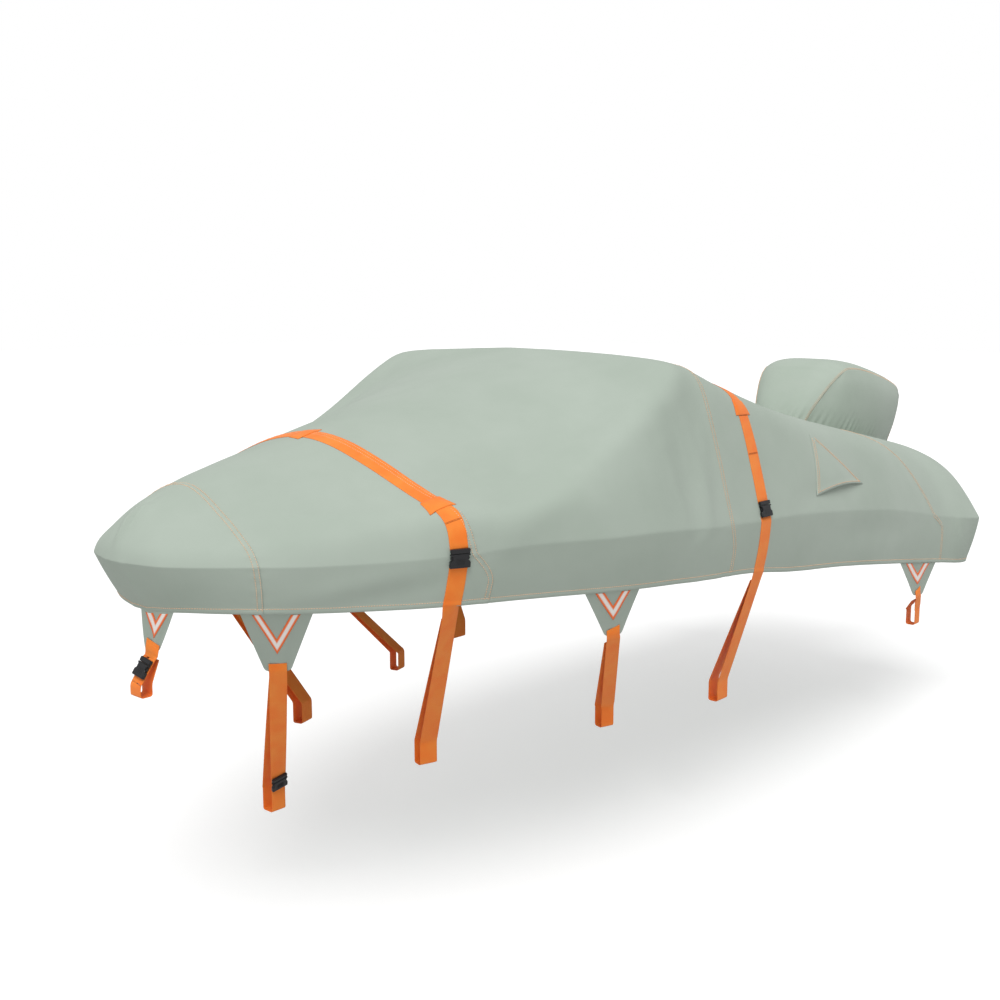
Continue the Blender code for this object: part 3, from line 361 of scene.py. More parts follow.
def relief(points, folds):
    """How far the folds lift the cloth at these places."""
    lift = np.zeros(points.shape[:-1])
    for start, end, fold in folds:
        run = end - start
        share = (points - start) @ run / (run @ run)
        nearest = start + np.clip(share, 0, 1)[..., None] * run
        distance = np.linalg.norm(points - nearest, axis=-1)
        fade = np.sin(np.pi * np.clip(0.12 + 0.76 * share, 0, 1))
        rise = fold.height * fade * np.exp(-((distance / fold.width) ** 2))
        lift += np.where(distance < 3 * fold.width, rise, 0)
    return lift


def unevenness(points):
    """The cloth's own slight waves, so that no part of it is perfectly smooth."""
    flat = points.reshape(-1, 3)
    wide = [noise.noise(Vector(p) * 2.1) for p in flat]
    close = [noise.noise(Vector(p) * 7.0 + Vector((5, 5, 5))) for p in flat]
    return (0.0042 * np.array(wide) + 0.0012 * np.array(close)).reshape(points.shape[:-1])


def grid_normals(grid):
    normals = np.cross(np.gradient(grid, axis=0), np.gradient(grid, axis=1))
    return unit(normals)


def lift_of(points):
    return relief(points, MAIN_FOLDS) + relief(points, SMALL_FOLDS) + unevenness(points)


def cover(t, girth):
    """Points of the cloth and the way it faces there."""
    t, girth = np.broadcast_arrays(np.asarray(t, float), np.asarray(girth, float))
    step = 0.004
    along = bare(np.minimum(t + step, LENGTH), girth) - bare(np.maximum(t - step, 0), girth)
    across = bare(t, np.minimum(girth + 0.02, 2)) - bare(t, np.maximum(girth - 0.02, -2))
    normals = unit(np.cross(along, across))
    points = bare(t, girth)
    return points + normals * lift_of(points)[..., None], normals


def spaced(length, ends, fine=FINE_STEP, coarse=COARSE_STEP, zone=0.032):
    """Places from 0 to 1: fine steps near the ends that ask for them, coarse ones between."""
    places = [0.0]
    while places[-1] < length:
        here = places[-1]
        near = (ends[0] and here < zone) or (ends[1] and length - here < zone)
        places.append(here + (fine if near else coarse))
    return np.array(places) / places[-1]


# ---------------------------------------------------------------- meshes


def mesh_object(name, points, faces, uv=None, smooth=True):
    mesh = bpy.data.meshes.new(name)
    mesh.from_pydata(np.asarray(points).tolist(), [], [list(map(int, f)) for f in faces])
    if uv is not None:
        layer = mesh.uv_layers.new(name="cloth")
        corners = np.empty(len(mesh.loops), int)
        mesh.loops.foreach_get("vertex_index", corners)
        layer.data.foreach_set("uv", np.asarray(uv)[corners].astype(np.float32).ravel())
    mesh.polygons.foreach_set("use_smooth", [smooth] * len(mesh.polygons))
    mesh.update()
    obj = bpy.data.objects.new(name, mesh)
    bpy.context.scene.collection.objects.link(obj)
    return obj


def sheet_faces(index, under, closed_ends=(True, True)):
    """Quads of a closed sheet: its outer side, its inner side and its edges."""
    a, b, c, d = index[:-1, :-1], index[1:, :-1], index[1:, 1:], index[:-1, 1:]
    e, f, g, h = under[:-1, :-1], under[1:, :-1], under[1:, 1:], under[:-1, 1:]
    quads = [np.stack([a, b, c, d], axis=-1), np.stack([e, h, g, f], axis=-1)]
    quads.append(np.stack([index[:-1, 0], under[:-1, 0], under[1:, 0], index[1:, 0]], axis=-1))
    quads.append(np.stack([index[:-1, -1], index[1:, -1], under[1:, -1], under[:-1, -1]], axis=-1))
    if closed_ends[0]:
        quads.append(np.stack([index[0, :-1], index[0, 1:], under[0, 1:], under[0, :-1]], axis=-1))
    if closed_ends[1]:
        quads.append(np.stack([index[-1, 1:], index[-1, :-1], under[-1, :-1], under[-1, 1:]], axis=-1))
    return np.concatenate([q.reshape(-1, 4) for q in quads])


def closed_sheet(name, outer, thickness, welded=(False, False), normals=None, uv=None):
    """A thin closed sheet under a grid of points.

    A welded end row is folded on itself, port on starboard, so its halves share their points.
    """
    rows, columns = outer.shape[:2]
    normals = grid_normals(outer) if normals is None else normals
    index = np.arange(rows * columns).reshape(rows, columns)
    half = columns // 2
    for row, weld in ((0, welded[0]), (rows - 1, welded[1])):
        if weld:
            normals[row, :, 1] = 0
            normals[row] = unit(normals[row] + normals[row, ::-1])
            index[row, half + 1 :] = index[row, :half][::-1]
    inner = outer - normals * thickness
    points = np.concatenate([outer.reshape(-1, 3), inner.reshape(-1, 3)])
    if uv is None:
        steps = np.linalg.norm(np.diff(outer, axis=0), axis=2).mean(axis=1)
        v = np.concatenate([[0], np.cumsum(steps)])
        across = np.linalg.norm(np.diff(outer[rows // 2], axis=0), axis=1)
        u = np.concatenate([[0], np.cumsum(across)])
        uv = np.stack(np.meshgrid(v, u, indexing="ij")[::-1], axis=-1)
    uv = uv.reshape(-1, 2)
    faces = sheet_faces(index, index + rows * columns, [not w for w in welded])
    used, faces = np.unique(faces, return_inverse=True)
    return mesh_object(name, points[used], faces.reshape(-1, 4), np.tile(uv, (2, 1))[used])


def outer_tree(grids):
    """A search tree over the outer sides of these grids of points."""
    points, faces = [], []
    for grid in grids:
        index = np.arange(grid.shape[0] * grid.shape[1]).reshape(grid.shape[:2]) + len(points)
        points += grid.reshape(-1, 3).tolist()
        a, b, c, d = index[:-1, :-1], index[1:, :-1], index[1:, 1:], index[:-1, 1:]
        faces += np.stack([a, b, c, d], axis=-1).reshape(-1, 4).tolist()
    return BVHTree.FromPolygons(points, faces)


def laid_on(tree, points, normals, lift):
    """The points moved along their normals until they lie this far above the cloth."""
    shape = points.shape
    normals = np.broadcast_to(normals, shape).reshape(-1, 3)
    placed = []
    for point, normal in zip(points.reshape(-1, 3), normals):
        up = Vector(normal)
        hit = tree.ray_cast(Vector(point) + up * REACH, -up, 2 * REACH)[0]
        placed.append((hit if hit else Vector(point)) + up * lift)
    return np.array(placed).reshape(shape)


def stitches(name, rows, length=0.0072, pitch=0.0098, radius=0.0016, sides=4):
    """Thread laid in short stitches along the rows, each a path with the cloth's normals."""
    points, faces = [], []
    shares = np.array([0.0, 0.22, 0.78, 1.0])
    girths = np.array([0.35, 1.0, 1.0, 0.35]) * radius
    rises = np.array([-0.5, 0.55, 0.55, -0.5]) * radius
    angles = np.arange(sides) * 2 * math.pi / sides + math.pi / sides
    for path, normals in rows:
        travel = np.concatenate([[0], np.cumsum(np.linalg.norm(np.diff(path, axis=0), axis=1))])
        starts = np.arange(pitch / 4, travel[-1] - length, pitch)
        at = starts[:, None] + shares * length
        centre = np.stack([np.interp(at, travel, path[:, k]) for k in range(3)], axis=-1)
        out = unit(np.stack([np.interp(at, travel, normals[:, k]) for k in range(3)], axis=-1))
        run = unit(centre[:, 3:] - centre[:, :1])
        side = unit(np.cross(np.broadcast_to(run, out.shape), out))
        centre = centre + out * rises[:, None]
        ring = side[:, :, None] * np.cos(angles)[:, None] + out[:, :, None] * np.sin(angles)[:, None]
        ring = centre[:, :, None] + ring * girths[:, None, None]
        count = ring.shape[0]
        base = sum(len(p) for p in points)
        points.append(ring.reshape(-1, 3))
        index = base + np.arange(count * 4 * sides).reshape(count, 4, sides)
        turned = np.roll(index, -1, axis=2)
        walls = np.stack([index[:, :-1], index[:, 1:], turned[:, 1:], turned[:, :-1]], axis=-1)
        faces += walls.reshape(-1, 4).tolist()
        faces += index[:, 0].tolist()
        faces += index[:, -1, ::-1].tolist()
    return mesh_object(name, np.concatenate(points), faces)


# ---------------------------------------------------------------- panels


def seam_distance(seam, girth):
    down = smoothstep((np.abs(girth) - seam.start) / (seam.end - seam.start))
    return distance_at(seam.station + seam.drift * down)


DECK_WIDTH = 1.35
BAND_WIDTH = 0.25


def girth_lines():
    """The girths of the mesh lines, from the port hem over the spine to the starboard hem."""
    deck = spaced(DECK_WIDTH, (False, True))
    band = 1 + spaced(BAND_WIDTH, (True, True), coarse=0.012)[1:]
    half = np.concatenate([deck, band])
    return np.concatenate([-half[:0:-1], half])


GIRTHS = girth_lines()


def soften_gunwale(grid, passes=3):
    """Rounds the crease over the gunwale a little, as cloth over a round edge."""
    for girth in (-1, 1):
        crease = int(np.argmin(np.abs(GIRTHS - girth)))
        for _ in range(passes):
            zone = slice(crease - 4, crease + 5)
            before = grid[:, crease - 5 : crease + 4]
            after = grid[:, crease - 3 : crease + 6]
            grid[:, zone] = grid[:, zone] * 0.5 + (before + after) * 0.25
    return grid


def smoothstep(value):
    value = np.clip(value, 0, 1)
    return value * value * (3 - 2 * value)


def edge_distances(grid):
    """How far each point is from the grid's first row and from its last one."""
    travel = np.cumsum(np.linalg.norm(np.diff(grid, axis=0), axis=2), axis=0)
    travel = np.concatenate([np.zeros((1, grid.shape[1])), travel])
    return travel, travel[-1] - travel


def hem_profile(grid):
    """The corded hem: a small round rise along both lower edges."""
    steps = np.linalg.norm(np.diff(grid, axis=1), axis=2)
    travel = np.concatenate([np.zeros((grid.shape[0], 1)), np.cumsum(steps, axis=1)], axis=1)
    distance = np.minimum(travel, travel[:, -1:] - travel)
    inside = np.clip((distance - HEM_DEPTH / 2) / (HEM_DEPTH / 2), -1, 1)
    return HEM_RISE * np.sqrt(1 - inside**2), distance


def panel_grid(index):
    first, last = index == 0, index == len(PANELS) - 1
    start = 0.0 if first else seam_distance(SEAMS[index - 1], GIRTHS) - CLOTH_LAP
    end = LENGTH if last else seam_distance(SEAMS[index], GIRTHS) + CLOTH_LAP
    shares = spaced(float(np.mean(end - start)), (not first, not last))[:, None]
    grid = soften_gunwale(bare(start + (end - start) * shares, GIRTHS[None, :]))
    normals = grid_normals(grid)
    for row, welded in ((0, first), (-1, last)):
        if welded:
            normals[row, :, 1] = 0
            normals[row] = unit(normals[row])
    lift = lift_of(grid)
    hem, _ = hem_profile(grid)
    lift += hem
    from_start, from_end = edge_distances(grid)
    travel = np.cumsum(np.linalg.norm(np.diff(grid, axis=1), axis=2), axis=1)
    travel = np.concatenate([np.zeros((grid.shape[0], 1)), travel], axis=1)
    pucker = np.sin(travel * 2 * math.pi / 0.043 + 0.7 * np.sin(travel * 31))
    for distance, present, rise in ((from_start, not first, 0.0), (from_end, not last, LAP_RISE)):
        if present:
            lift += rise * smoothstep((2 * CLOTH_LAP + 0.004 - distance) / 0.004)
            lift += 0.0006 * pucker * np.exp(-(((distance - CLOTH_LAP) / 0.03) ** 2))
    return grid + normals * lift[..., None]


def build_panels():
    grids = [panel_grid(index) for index in range(len(PANELS))]
    for index, (name, grid) in enumerate(zip(PANELS, grids)):
        welded = (index == 0, index == len(PANELS) - 1)
        panel = closed_sheet(name + "_cloth", grid, THIN_CLOTH, welded)
        finish_piece(panel, "cover_cloth", name)
    return grids


def finish_piece(obj, kind, *nodes, thread=False):
    """Gives a piece its material, hides the solids that it stands for, and lets it ride."""
    obj.data.materials.append(MATERIALS["thread" if thread else kind])
    if nodes:
        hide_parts(*nodes)
    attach(obj, "root")
    return obj


def seam_row(tree, t, girths, offset, lift=0.0002):
    """A line of stitching this far beside a seam, on the cloth."""
    points, normals = cover(t, girths)
    run = unit(np.gradient(points, axis=0))
    side = unit(np.cross(normals, run))
    return laid_on(tree, points + side * offset, normals, lift), normals


def build_seams(tree):
    girths = np.linspace(-1.93, 1.93, 420)
    for seam, label in zip(SEAMS, ("bow", "foredeck", "windscreen", "stern")):
        t = seam_distance(seam, girths)
        rows = [seam_row(tree, t, girths, offset) for offset in (-STITCH_OFFSET, STITCH_OFFSET)]
        finish_piece(stitches(f"stitching_seam_{label}", rows), "cover_cloth", thread=True)


def build_hem_stitching(grids):
    """One row of stitches above the hem, all the way round."""
    rows = []
    for grid in grids:
        normals = grid_normals(grid)
        distance = hem_profile(grid)[1]
        for half in (slice(0, 40), slice(-1, -41, -1)):
            line, faces = [], []
            for row, face, far in zip(grid[:, half], normals[:, half], distance[:, half]):
                line.append([np.interp(HEM_STITCH, far, row[:, k]) for k in range(3)])
                faces.append([np.interp(HEM_STITCH, far, face[:, k]) for k in range(3)])
            rows.append((np.array(line), unit(np.array(faces))))
    finish_piece(stitches("stitching_hem", rows), "cover_cloth", thread=True)


# ---------------------------------------------------------------- vents


VENT_ARCH = 0.014  # how far the lower lip arches up, as a share of the girth
VENT_STITCHES = (0.010, 0.022)  # of the rows of stitches from the vent's edges


def facing_out(grid, hint):
    """The grid, with its columns turned round if it faces away from the hint."""
    middle = grid_normals(grid)[grid.shape[0] // 2, grid.shape[1] // 2]
    return grid if middle @ np.asarray(hint, float) > 0 else grid[:, ::-1]


def vent_places(side, down, across):
    """The cloth's place and facing at a share of the way down the vent and across it."""
    fore = [a + (b - a) * down for a, b in zip(VENT_APEX, VENT_FORE)]
    aft = [a + (b - a) * down for a, b in zip(VENT_APEX, VENT_AFT)]
    arch = VENT_ARCH * np.sin(np.pi * across) * down**3
    girth = side * (fore[1] + (aft[1] - fore[1]) * across - arch)
    return cover(distance_at(fore[0] + (aft[0] - fore[0]) * across), girth)


def build_vents(tree):
    """Sewn-on triangles that bulge over the holes they shelter, open along their lower edge."""
    for side, label in ((-1, "port"), (1, "starboard")):
        down, across = np.meshgrid(np.linspace(0.02, 1, 34), np.linspace(0, 1, 34), indexing="ij")
        points, normals = vent_places(side, down, across)
        swell = VENT_BULGE * down**1.5 * np.sin(np.pi * across) + THIN_CLOTH + 0.0006
        swell += 0.0016 * np.exp(-(((down - 0.95) / 0.03) ** 2))
        grid = laid_on(tree, points, normals, 0.0) + normals * swell[..., None]
        grid = facing_out(grid, (0, side, 1))
        vent = closed_sheet(f"vent_{label}_cloth", grid, THIN_CLOTH)
        finish_piece(vent, "cover_cloth", f"vent_{label}")
        vent_tree = outer_tree([grid])
        rows = []
        for inset in VENT_STITCHES:
            for edge in (0, 1):
                width = 0.42  # of the vent's lower edge, in metres
                down_line = np.linspace(0.06 + inset / 0.30, 0.975, 60)
                share = np.clip(inset / (width * down_line), 0, 0.5)
                line = vent_places(side, down_line, share if edge == 0 else 1 - share)
                rows.append((laid_on(vent_tree, *line, 0.0002), line[1]))
        line = vent_places(side, np.full(60, 0.955), np.linspace(0.03, 0.97, 60))
        rows.append((laid_on(vent_tree, *line, 0.0002), line[1]))
        finish_piece(stitches(f"stitching_vent_{label}", rows), "cover_cloth", thread=True)


# ---------------------------------------------------------------- webbing


WEB_THICKNESS = 0.0016
WEB_CROWN = 0.0004
WEB_LIFT = 0.0004
STITCH_PLACES = (0.17, 0.29)  # how far above the buckle, in girth, its webbing is sewn down
ACROSS = np.array([-1.0, -0.93, -0.5, 0.0, 0.5, 0.93, 1.0])


def girth_beyond(t, girth, distance, towards):
    """The girth at this distance along the cloth, up towards 0 or down towards 2."""
    side = -1 if girth < 0 else 1
    tried = np.linspace(abs(girth), towards, 400)
    points = cover(np.full(400, t), side * tried)[0]
    return side * float(np.interp(distance, np.linalg.norm(points - points[0], axis=1), tried))


def webbing(name, grid, *nodes):
    """A ribbon of webbing from a grid of outer points, with ACROSS as its columns."""
    normals = grid_normals(grid)
    ribbon = closed_sheet(name, grid, WEB_THICKNESS, normals=normals)
    return finish_piece(ribbon, "webbing", *nodes)


def laid_webbing(tree, t, girths, width, lift=WEB_LIFT):
    """A grid of points for webbing that lies across the cloth."""
    points, normals = cover(np.full(len(girths), t), girths)
    reach = np.zeros((1, len(ACROSS), 3))
    reach[0, :, 0] = ACROSS * width / 2
    spread = points[:, None] + reach
    faces = np.repeat(normals[:, None], len(ACROSS), axis=1)
    crown = WEB_CROWN * (1 - ACROSS**2)
    grid = laid_on(tree, spread, faces, lift + WEB_THICKNESS)
    return grid + faces * crown[None, :, None], normals


def build_top_strap(tree, strap):
    t = float(distance_at(strap.station))
    room = BUCKLE_HEIGHT / 2 - 0.006
    limit = abs(girth_beyond(t, strap.buckle_girth, room, 0))
    girths = np.linspace(-limit, limit, 260)
    grid, _ = laid_webbing(tree, t, girths, strap.width)
    grid = facing_out(grid, (0, 0, 1))
    name = f"strap_{strap.name}_top"
    webbing(name + "_webbing", grid, name)
    return outer_tree([grid])


def cross_stitches(name, tree, t, girth, width, rows=2, gap=0.004, inset=0.004):
    """Rows of dark thread across a strap, where its end is folded back and sewn."""
    lines = []
    points, normals = cover(np.array([t]), np.array([girth]))
    run = unit(cover(np.array([t]), np.array([girth * 0.985]))[0] - points)
    along = unit(np.cross(run, normals))
    reach = np.linspace(-1, 1, 30)[:, None] * (width / 2 - inset)
    for row in range(rows):
        line = points + along * reach + run * row * gap
        faces = np.repeat(normals, 30, axis=0)
        lines.append((laid_on(tree, line, faces, 0.0002), faces))
    obj = stitches(name, lines, length=0.0042, pitch=0.0052, radius=0.0009)
    obj.data.materials.append(MATERIALS["dark_thread"])
    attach(obj, "root")


def build_strap_stitching(tree, strap):
    """Sewn-down webbing above both buckles."""
    t = float(distance_at(strap.station))
    for side, label in ((-1, "port"), (1, "starboard")):
        for row, back in enumerate(STITCH_PLACES):
            girth = side * (strap.buckle_girth - back)
            cross_stitches(f"stitching_{strap.name}_{label}_{row}", tree, t, girth, strap.width)


def rounded_path(corners, aims, radius=0.012, steps=7, pieces=14):
    """A path through the corners, rounded at each, with the direction of its width."""
    corners, aims = np.asarray(corners), np.asarray(aims)
    points, ways = [corners[0]], [aims[0]]
    for k in range(1, len(corners)):
        before, corner = corners[k - 1], corners[k]
        run = corner - before
        length = np.linalg.norm(run)
        if length > 8 * radius:
            for share in np.arange(1, pieces) / pieces:
                points.append(before + run * share)
                ways.append(aims[k - 1] + (aims[k] - aims[k - 1]) * share)
        if k == len(corners) - 1:
            break
        after = corners[k + 1]
        arm_in = unit(before - corner) * min(radius, length / 2.5)
        arm_out = unit(after - corner) * min(radius, np.linalg.norm(after - corner) / 2.5)
        for s in np.arange(steps + 1) / steps:
            start, end = (1 - s) ** 2 * (corner + arm_in), s**2 * (corner + arm_out)
            points.append(start + 2 * s * (1 - s) * corner + end)
            ways.append(aims[k])
    return np.array(points + [corners[-1]]), np.array(ways + [aims[-1]])


def free_rows(corners, aims, width, outward):
    """Rows of a ribbon along a free path, with the way each faces."""
    path, ways = rounded_path(corners, aims)
    runs = unit(np.gradient(path, axis=0))
    sides = unit(ways - runs * (ways * runs).sum(axis=1, keepdims=True))
    faces = unit(np.cross(runs, sides)) * outward
    crown = WEB_CROWN * (1 - ACROSS**2)
    grid = path[:, None] + sides[:, None] * (ACROSS * width / 2)[None, :, None]
    return grid + faces[:, None] * crown[None, :, None], faces


def rail_corners(rail_x, rail_y, rail_h, side, yaw, width, height=RAIL_HEIGHT):
    """Bottom and top corners of the loop's section, on its outer and on its inner face."""
    across = np.array((math.sin(yaw), -math.cos(yaw), 0.0))
    across[1] *= -side
    outer_low = place(rail_x, side * rail_y, rail_h)
    inner_low = outer_low - across * width
    rise = np.array((0.0, 0.0, height))
    return outer_low, inner_low, inner_low + rise, outer_low + rise


def rail_direction(yaw, side):
    return np.array((math.cos(yaw), -side * math.sin(yaw), 0.0))


def build_strap_ends(tree, strap):
    """Webbing from each buckle down over the hem into a loop and back up behind."""
    t = float(distance_at(strap.station))
    yaw = math.radians(strap.yaw)
    for side, label in ((-1, "port"), (1, "starboard")):
        girth = side * strap.buckle_girth
        start = abs(girth_beyond(t, girth, BUCKLE_HEIGHT / 2 - 0.006, 2))
        laid, normals = laid_webbing(tree, t, side * np.linspace(start, HEM_GIRTH, 40), strap.width)
        corners = rail_corners(strap.rail_x, strap.rail_y, strap.rail_h, side, yaw, RAIL_WIDTH)
        outer_low, inner_low, inner_top, outer_top = corners
        hem = laid[-1, 3]
        below = hem + (outer_top - hem) * 0.06
        back = below - normals[-1] * RETURN_GAP
        along = np.array((1.0, 0.0, 0.0))
        way = rail_direction(yaw, side)
        free, _ = free_rows(
            [below, outer_top, outer_low, inner_low, inner_top, back],
            [along, way, way, way, way, along],
            strap.width,
            -side,
        )
        grid = facing_out(np.concatenate([laid, free]), (0, side, 0.2))
        name = f"strap_{strap.name}_{label}"
        webbing(name + "_webbing", grid, name)


def build_sleeves(tree, strap_tree, strap):
    """Loops of webbing sewn to the cover on both sides of the strap that they hold."""
    t = float(distance_at(strap.station))
    half = strap.width / 2
    for label, centre in zip(("port", "middle", "starboard"), strap.sleeves):
        near = cover(np.full(2, t), np.array([centre, centre + 0.01]))[0]
        reach = SLEEVE_LENGTH / 2 / (np.linalg.norm(near[1] - near[0]) / 0.01)
        shares = np.linspace(-1, 1, 13)
        downward = shares if centre > 0.1 else -shares
        points, normals = cover(np.full(13, t), centre + reach * shares)
        grid = np.empty((13, 15, 3))
        for i, (point, normal, low) in enumerate(zip(points, normals, downward)):
            wing = SLEEVE_WING * (0.45 + 0.75 * (low + 1) / 2)
            offsets = np.concatenate(
                [
                    np.linspace(-half - wing, -half - 0.004, 4),
                    np.linspace(-half, half, 7),
                    np.linspace(half + 0.004, half + wing, 4),
                ]
            )
            for j, offset in enumerate(offsets):
                inside = np.clip(offset, -half + 0.001, half - 0.001)
                on_strap = abs(offset) <= half + 0.0041
                base = point + np.array(((inside if on_strap else offset), 0.0, 0.0))
                found = laid_on(strap_tree if on_strap else tree, base, normal, WEB_THICKNESS + 0.0005)
                if on_strap and abs(offset) > half:
                    found = found + np.array((offset - inside, 0.0, 0.0)) - normal * 0.0012
                grid[i, j] = found + normal * 0.0012 * (1 - low**2) * (1 if on_strap else 0)
        grid = facing_out(grid, normals[6])
        name = f"sleeve_{strap.name}_{label}"
        finish_piece(closed_sheet(name + "_webbing", grid, WEB_THICKNESS), "webbing", name)


# ---------------------------------------------------------------- buckles


def prism(outline, height, bevel, centre, axes):
    """A rounded block from an outline, on three axes: across, along and outward."""
    mesh = bmesh.new()
    base = [mesh.verts.new((x, y, 0.0)) for x, y in outline]
    face = mesh.faces.new(base)
    moved = bmesh.ops.extrude_face_region(mesh, geom=[face])["geom"]
    lifted = [item for item in moved if isinstance(item, bmesh.types.BMVert)]
    bmesh.ops.translate(mesh, verts=lifted, vec=(0, 0, height))
    bmesh.ops.recalc_face_normals(mesh, faces=mesh.faces)
    rims = [e for e in mesh.edges if e.calc_face_angle(0.0) > 0.9]
    bmesh.ops.bevel(mesh, geom=rims, offset=bevel, segments=3, affect="EDGES", clamp_overlap=True)
    axes = np.array(axes)
    points = np.array([v.co for v in mesh.verts]) @ axes + centre
    mesh.verts.index_update()
    faces = [[v.index for v in f.verts] for f in mesh.faces]
    mesh.free()
    return points, faces


def merged(name, parts):
    points, faces = [], []
    for part_points, part_faces in parts:
        base = len(points)
        points += list(part_points)
        faces += [[base + v for v in face] for face in part_faces]
    return mesh_object(name, points, faces, smooth=False)


def buckle(name, centre, along, up, normal, width, node):
    """A side-release buckle: a housing with two waists, the prongs in them and a ribbed face."""
    half_w, half_h = width / 2, BUCKLE_HEIGHT / 2
    axes = (along, up, normal)
    housing = [
        (-1, -1), (1, -1), (1, -0.34), (0.80, -0.20), (0.76, 0.02), (0.80, 0.22),
        (1, 0.34), (1, 0.46), (-1, 0.46), (-1, 0.34), (-0.80, 0.22), (-0.76, 0.02),
        (-0.80, -0.20), (-1, -0.34),
    ]
    latch = [(-0.94, 0.50), (0.94, 0.50), (0.98, 1.0), (-0.98, 1.0)]
    prong = [(0.70, -0.18), (0.92, -0.12), (0.93, 0.14), (0.70, 0.20)]

    def scaled(outline, mirror=1):
        pairs = [(mirror * x * half_w, y * half_h) for x, y in outline]
        return pairs if mirror > 0 else pairs[::-1]

    parts = [
        prism(scaled(housing), BUCKLE_THICKNESS, 0.0022, centre, axes),
        prism(scaled(latch), BUCKLE_THICKNESS * 0.82, 0.0022, centre + normal * 0.001, axes),
    ]
    for mirror in (1, -1):
        parts.append(prism(scaled(prong, mirror), 0.008, 0.0015, centre + normal * 0.002, axes))
    for step in range(5):
        y = -0.62 + 0.13 * step
        rib = [(-0.42, y), (0.42, y), (0.42, y + 0.055), (-0.42, y + 0.055)]
        lift = normal * (BUCKLE_THICKNESS - 0.0006)
        parts.append(prism(scaled(rib), 0.0016, 0.0005, centre + lift, axes))
    obj = merged(name, parts)
    obj.data.polygons.foreach_set("use_smooth", [True] * len(obj.data.polygons))
    obj.data.set_sharp_from_angle(angle=math.radians(35))
    return finish_piece(obj, "buckle", node)


def build_strap_buckles(tree, strap):
    t = float(distance_at(strap.station))
    for side, label in ((-1, "port"), (1, "starboard")):
        girth = side * strap.buckle_girth
        places, normals = cover(np.full(2, t), np.array([girth, girth - side * 0.05]))
        normal = normals[0]
        up = unit(places[1] - places[0])
        along = unit(np.cross(up, normal))
        up = unit(np.cross(normal, along))
        spread = [
            places[0] + along * x * strap.width / 2 + up * y * BUCKLE_HEIGHT / 2
            for x in (-1, 0, 1)
            for y in (-1, 0, 1)
        ]
        on_cloth = laid_on(tree, np.array(spread), normal, 0.0)
        height = max(float((point - places[0]) @ normal) for point in on_cloth)
        centre = places[0] + normal * (height + 0.0008)
        name = f"buckle_{strap.name}_{label}"
        buckle(name + "_body", centre, along, up, normal, strap.width + BUCKLE_EDGE, name)


# ---------------------------------------------------------------- flaps under the hem


def flap_frame(flap):
    """The flap's lower edge: its middle, its direction, and the flap's outward face."""
    ends = distance_at(flap.station) + np.array([-flap.half, flap.half])
    fore, aft = cover(ends, np.full(2, flap.side * 2.0))[0]
    edge = unit(aft - fore)
    foot = place(flap.foot_x, flap.side * flap.foot_y, flap.foot_h)
    face = unit(np.cross(foot - (fore + aft) / 2, edge)) * -flap.side
    return foot, edge, face


def flap_points(flap, across, down):
    """Points of the flap: its root follows the hem, its foot is pulled down by its webbing."""
    foot, edge, face = flap_frame(flap)
    across, down = np.broadcast_arrays(np.asarray(across, float), np.asarray(down, float))
    t = distance_at(flap.station) + flap.half * across
    root, normals = cover(t, np.full(across.shape, flap.side * FLAP_ROOT))
    root = root - normals * (THIN_CLOTH + 0.0015)
    end = foot + edge * (across * flap.foot / 2)[..., None]
    sag = FLAP_SAG * np.sin(np.pi * down) * (1 - across**2)
    return root + (end - root) * down[..., None] - face * sag[..., None]


def flap_spots(flap, offsets, drops):
    """Points of the flap at offsets fore and aft and drops, both in metres."""
    root, end = flap_points(flap, np.zeros(2), np.array([0.0, 1.0]))
    down = np.asarray(drops) / np.linalg.norm(end - root)
    half = flap.half + (flap.foot / 2 - flap.half) * down
    return flap_points(flap, np.asarray(offsets) / half, down)


FLAP_CORNER = 0.022  # radius of the flap's lower corners


def build_flap(flap):
    foot, _, face = flap_frame(flap)
    across, down = np.meshgrid(np.linspace(-1, 1, 41), np.linspace(0, 1, 30), indexing="xy")
    length = np.linalg.norm(foot - flap_points(flap, np.zeros(1), np.zeros(1))[0])
    corner = np.clip((down * length - length + FLAP_CORNER) / FLAP_CORNER, 0, 1)
    narrowed = 1 - FLAP_CORNER / (flap.foot / 2) * (1 - np.sqrt(1 - corner**2)) * 0.9
    grid = flap_points(flap, across * narrowed, down)
    wave = 0.0022 * np.sin(across * 5.1 + 0.6) * np.sin(np.pi * down) * (1 + 0.4 * down)
    rim = 0.0007 * np.exp(-((((1 - np.abs(across)) * flap.half) / 0.012) ** 2))
    grid = grid + face * (wave + rim)[..., None]
    grid = facing_out(grid, face)
    name = f"flap_{flap.name}"
    finish_piece(closed_sheet(name + "_cloth", grid, THIN_CLOTH), "cover_cloth", name)
    return outer_tree([grid])


def vee_start(flap):
    """How far below the flap's root its vee begins, clear of the hem."""
    t = np.full(2, distance_at(flap.station))
    root, hem = cover(t, flap.side * np.array([FLAP_ROOT, 2.0]))[0]
    return np.linalg.norm(hem - root) + VEE_CLEAR


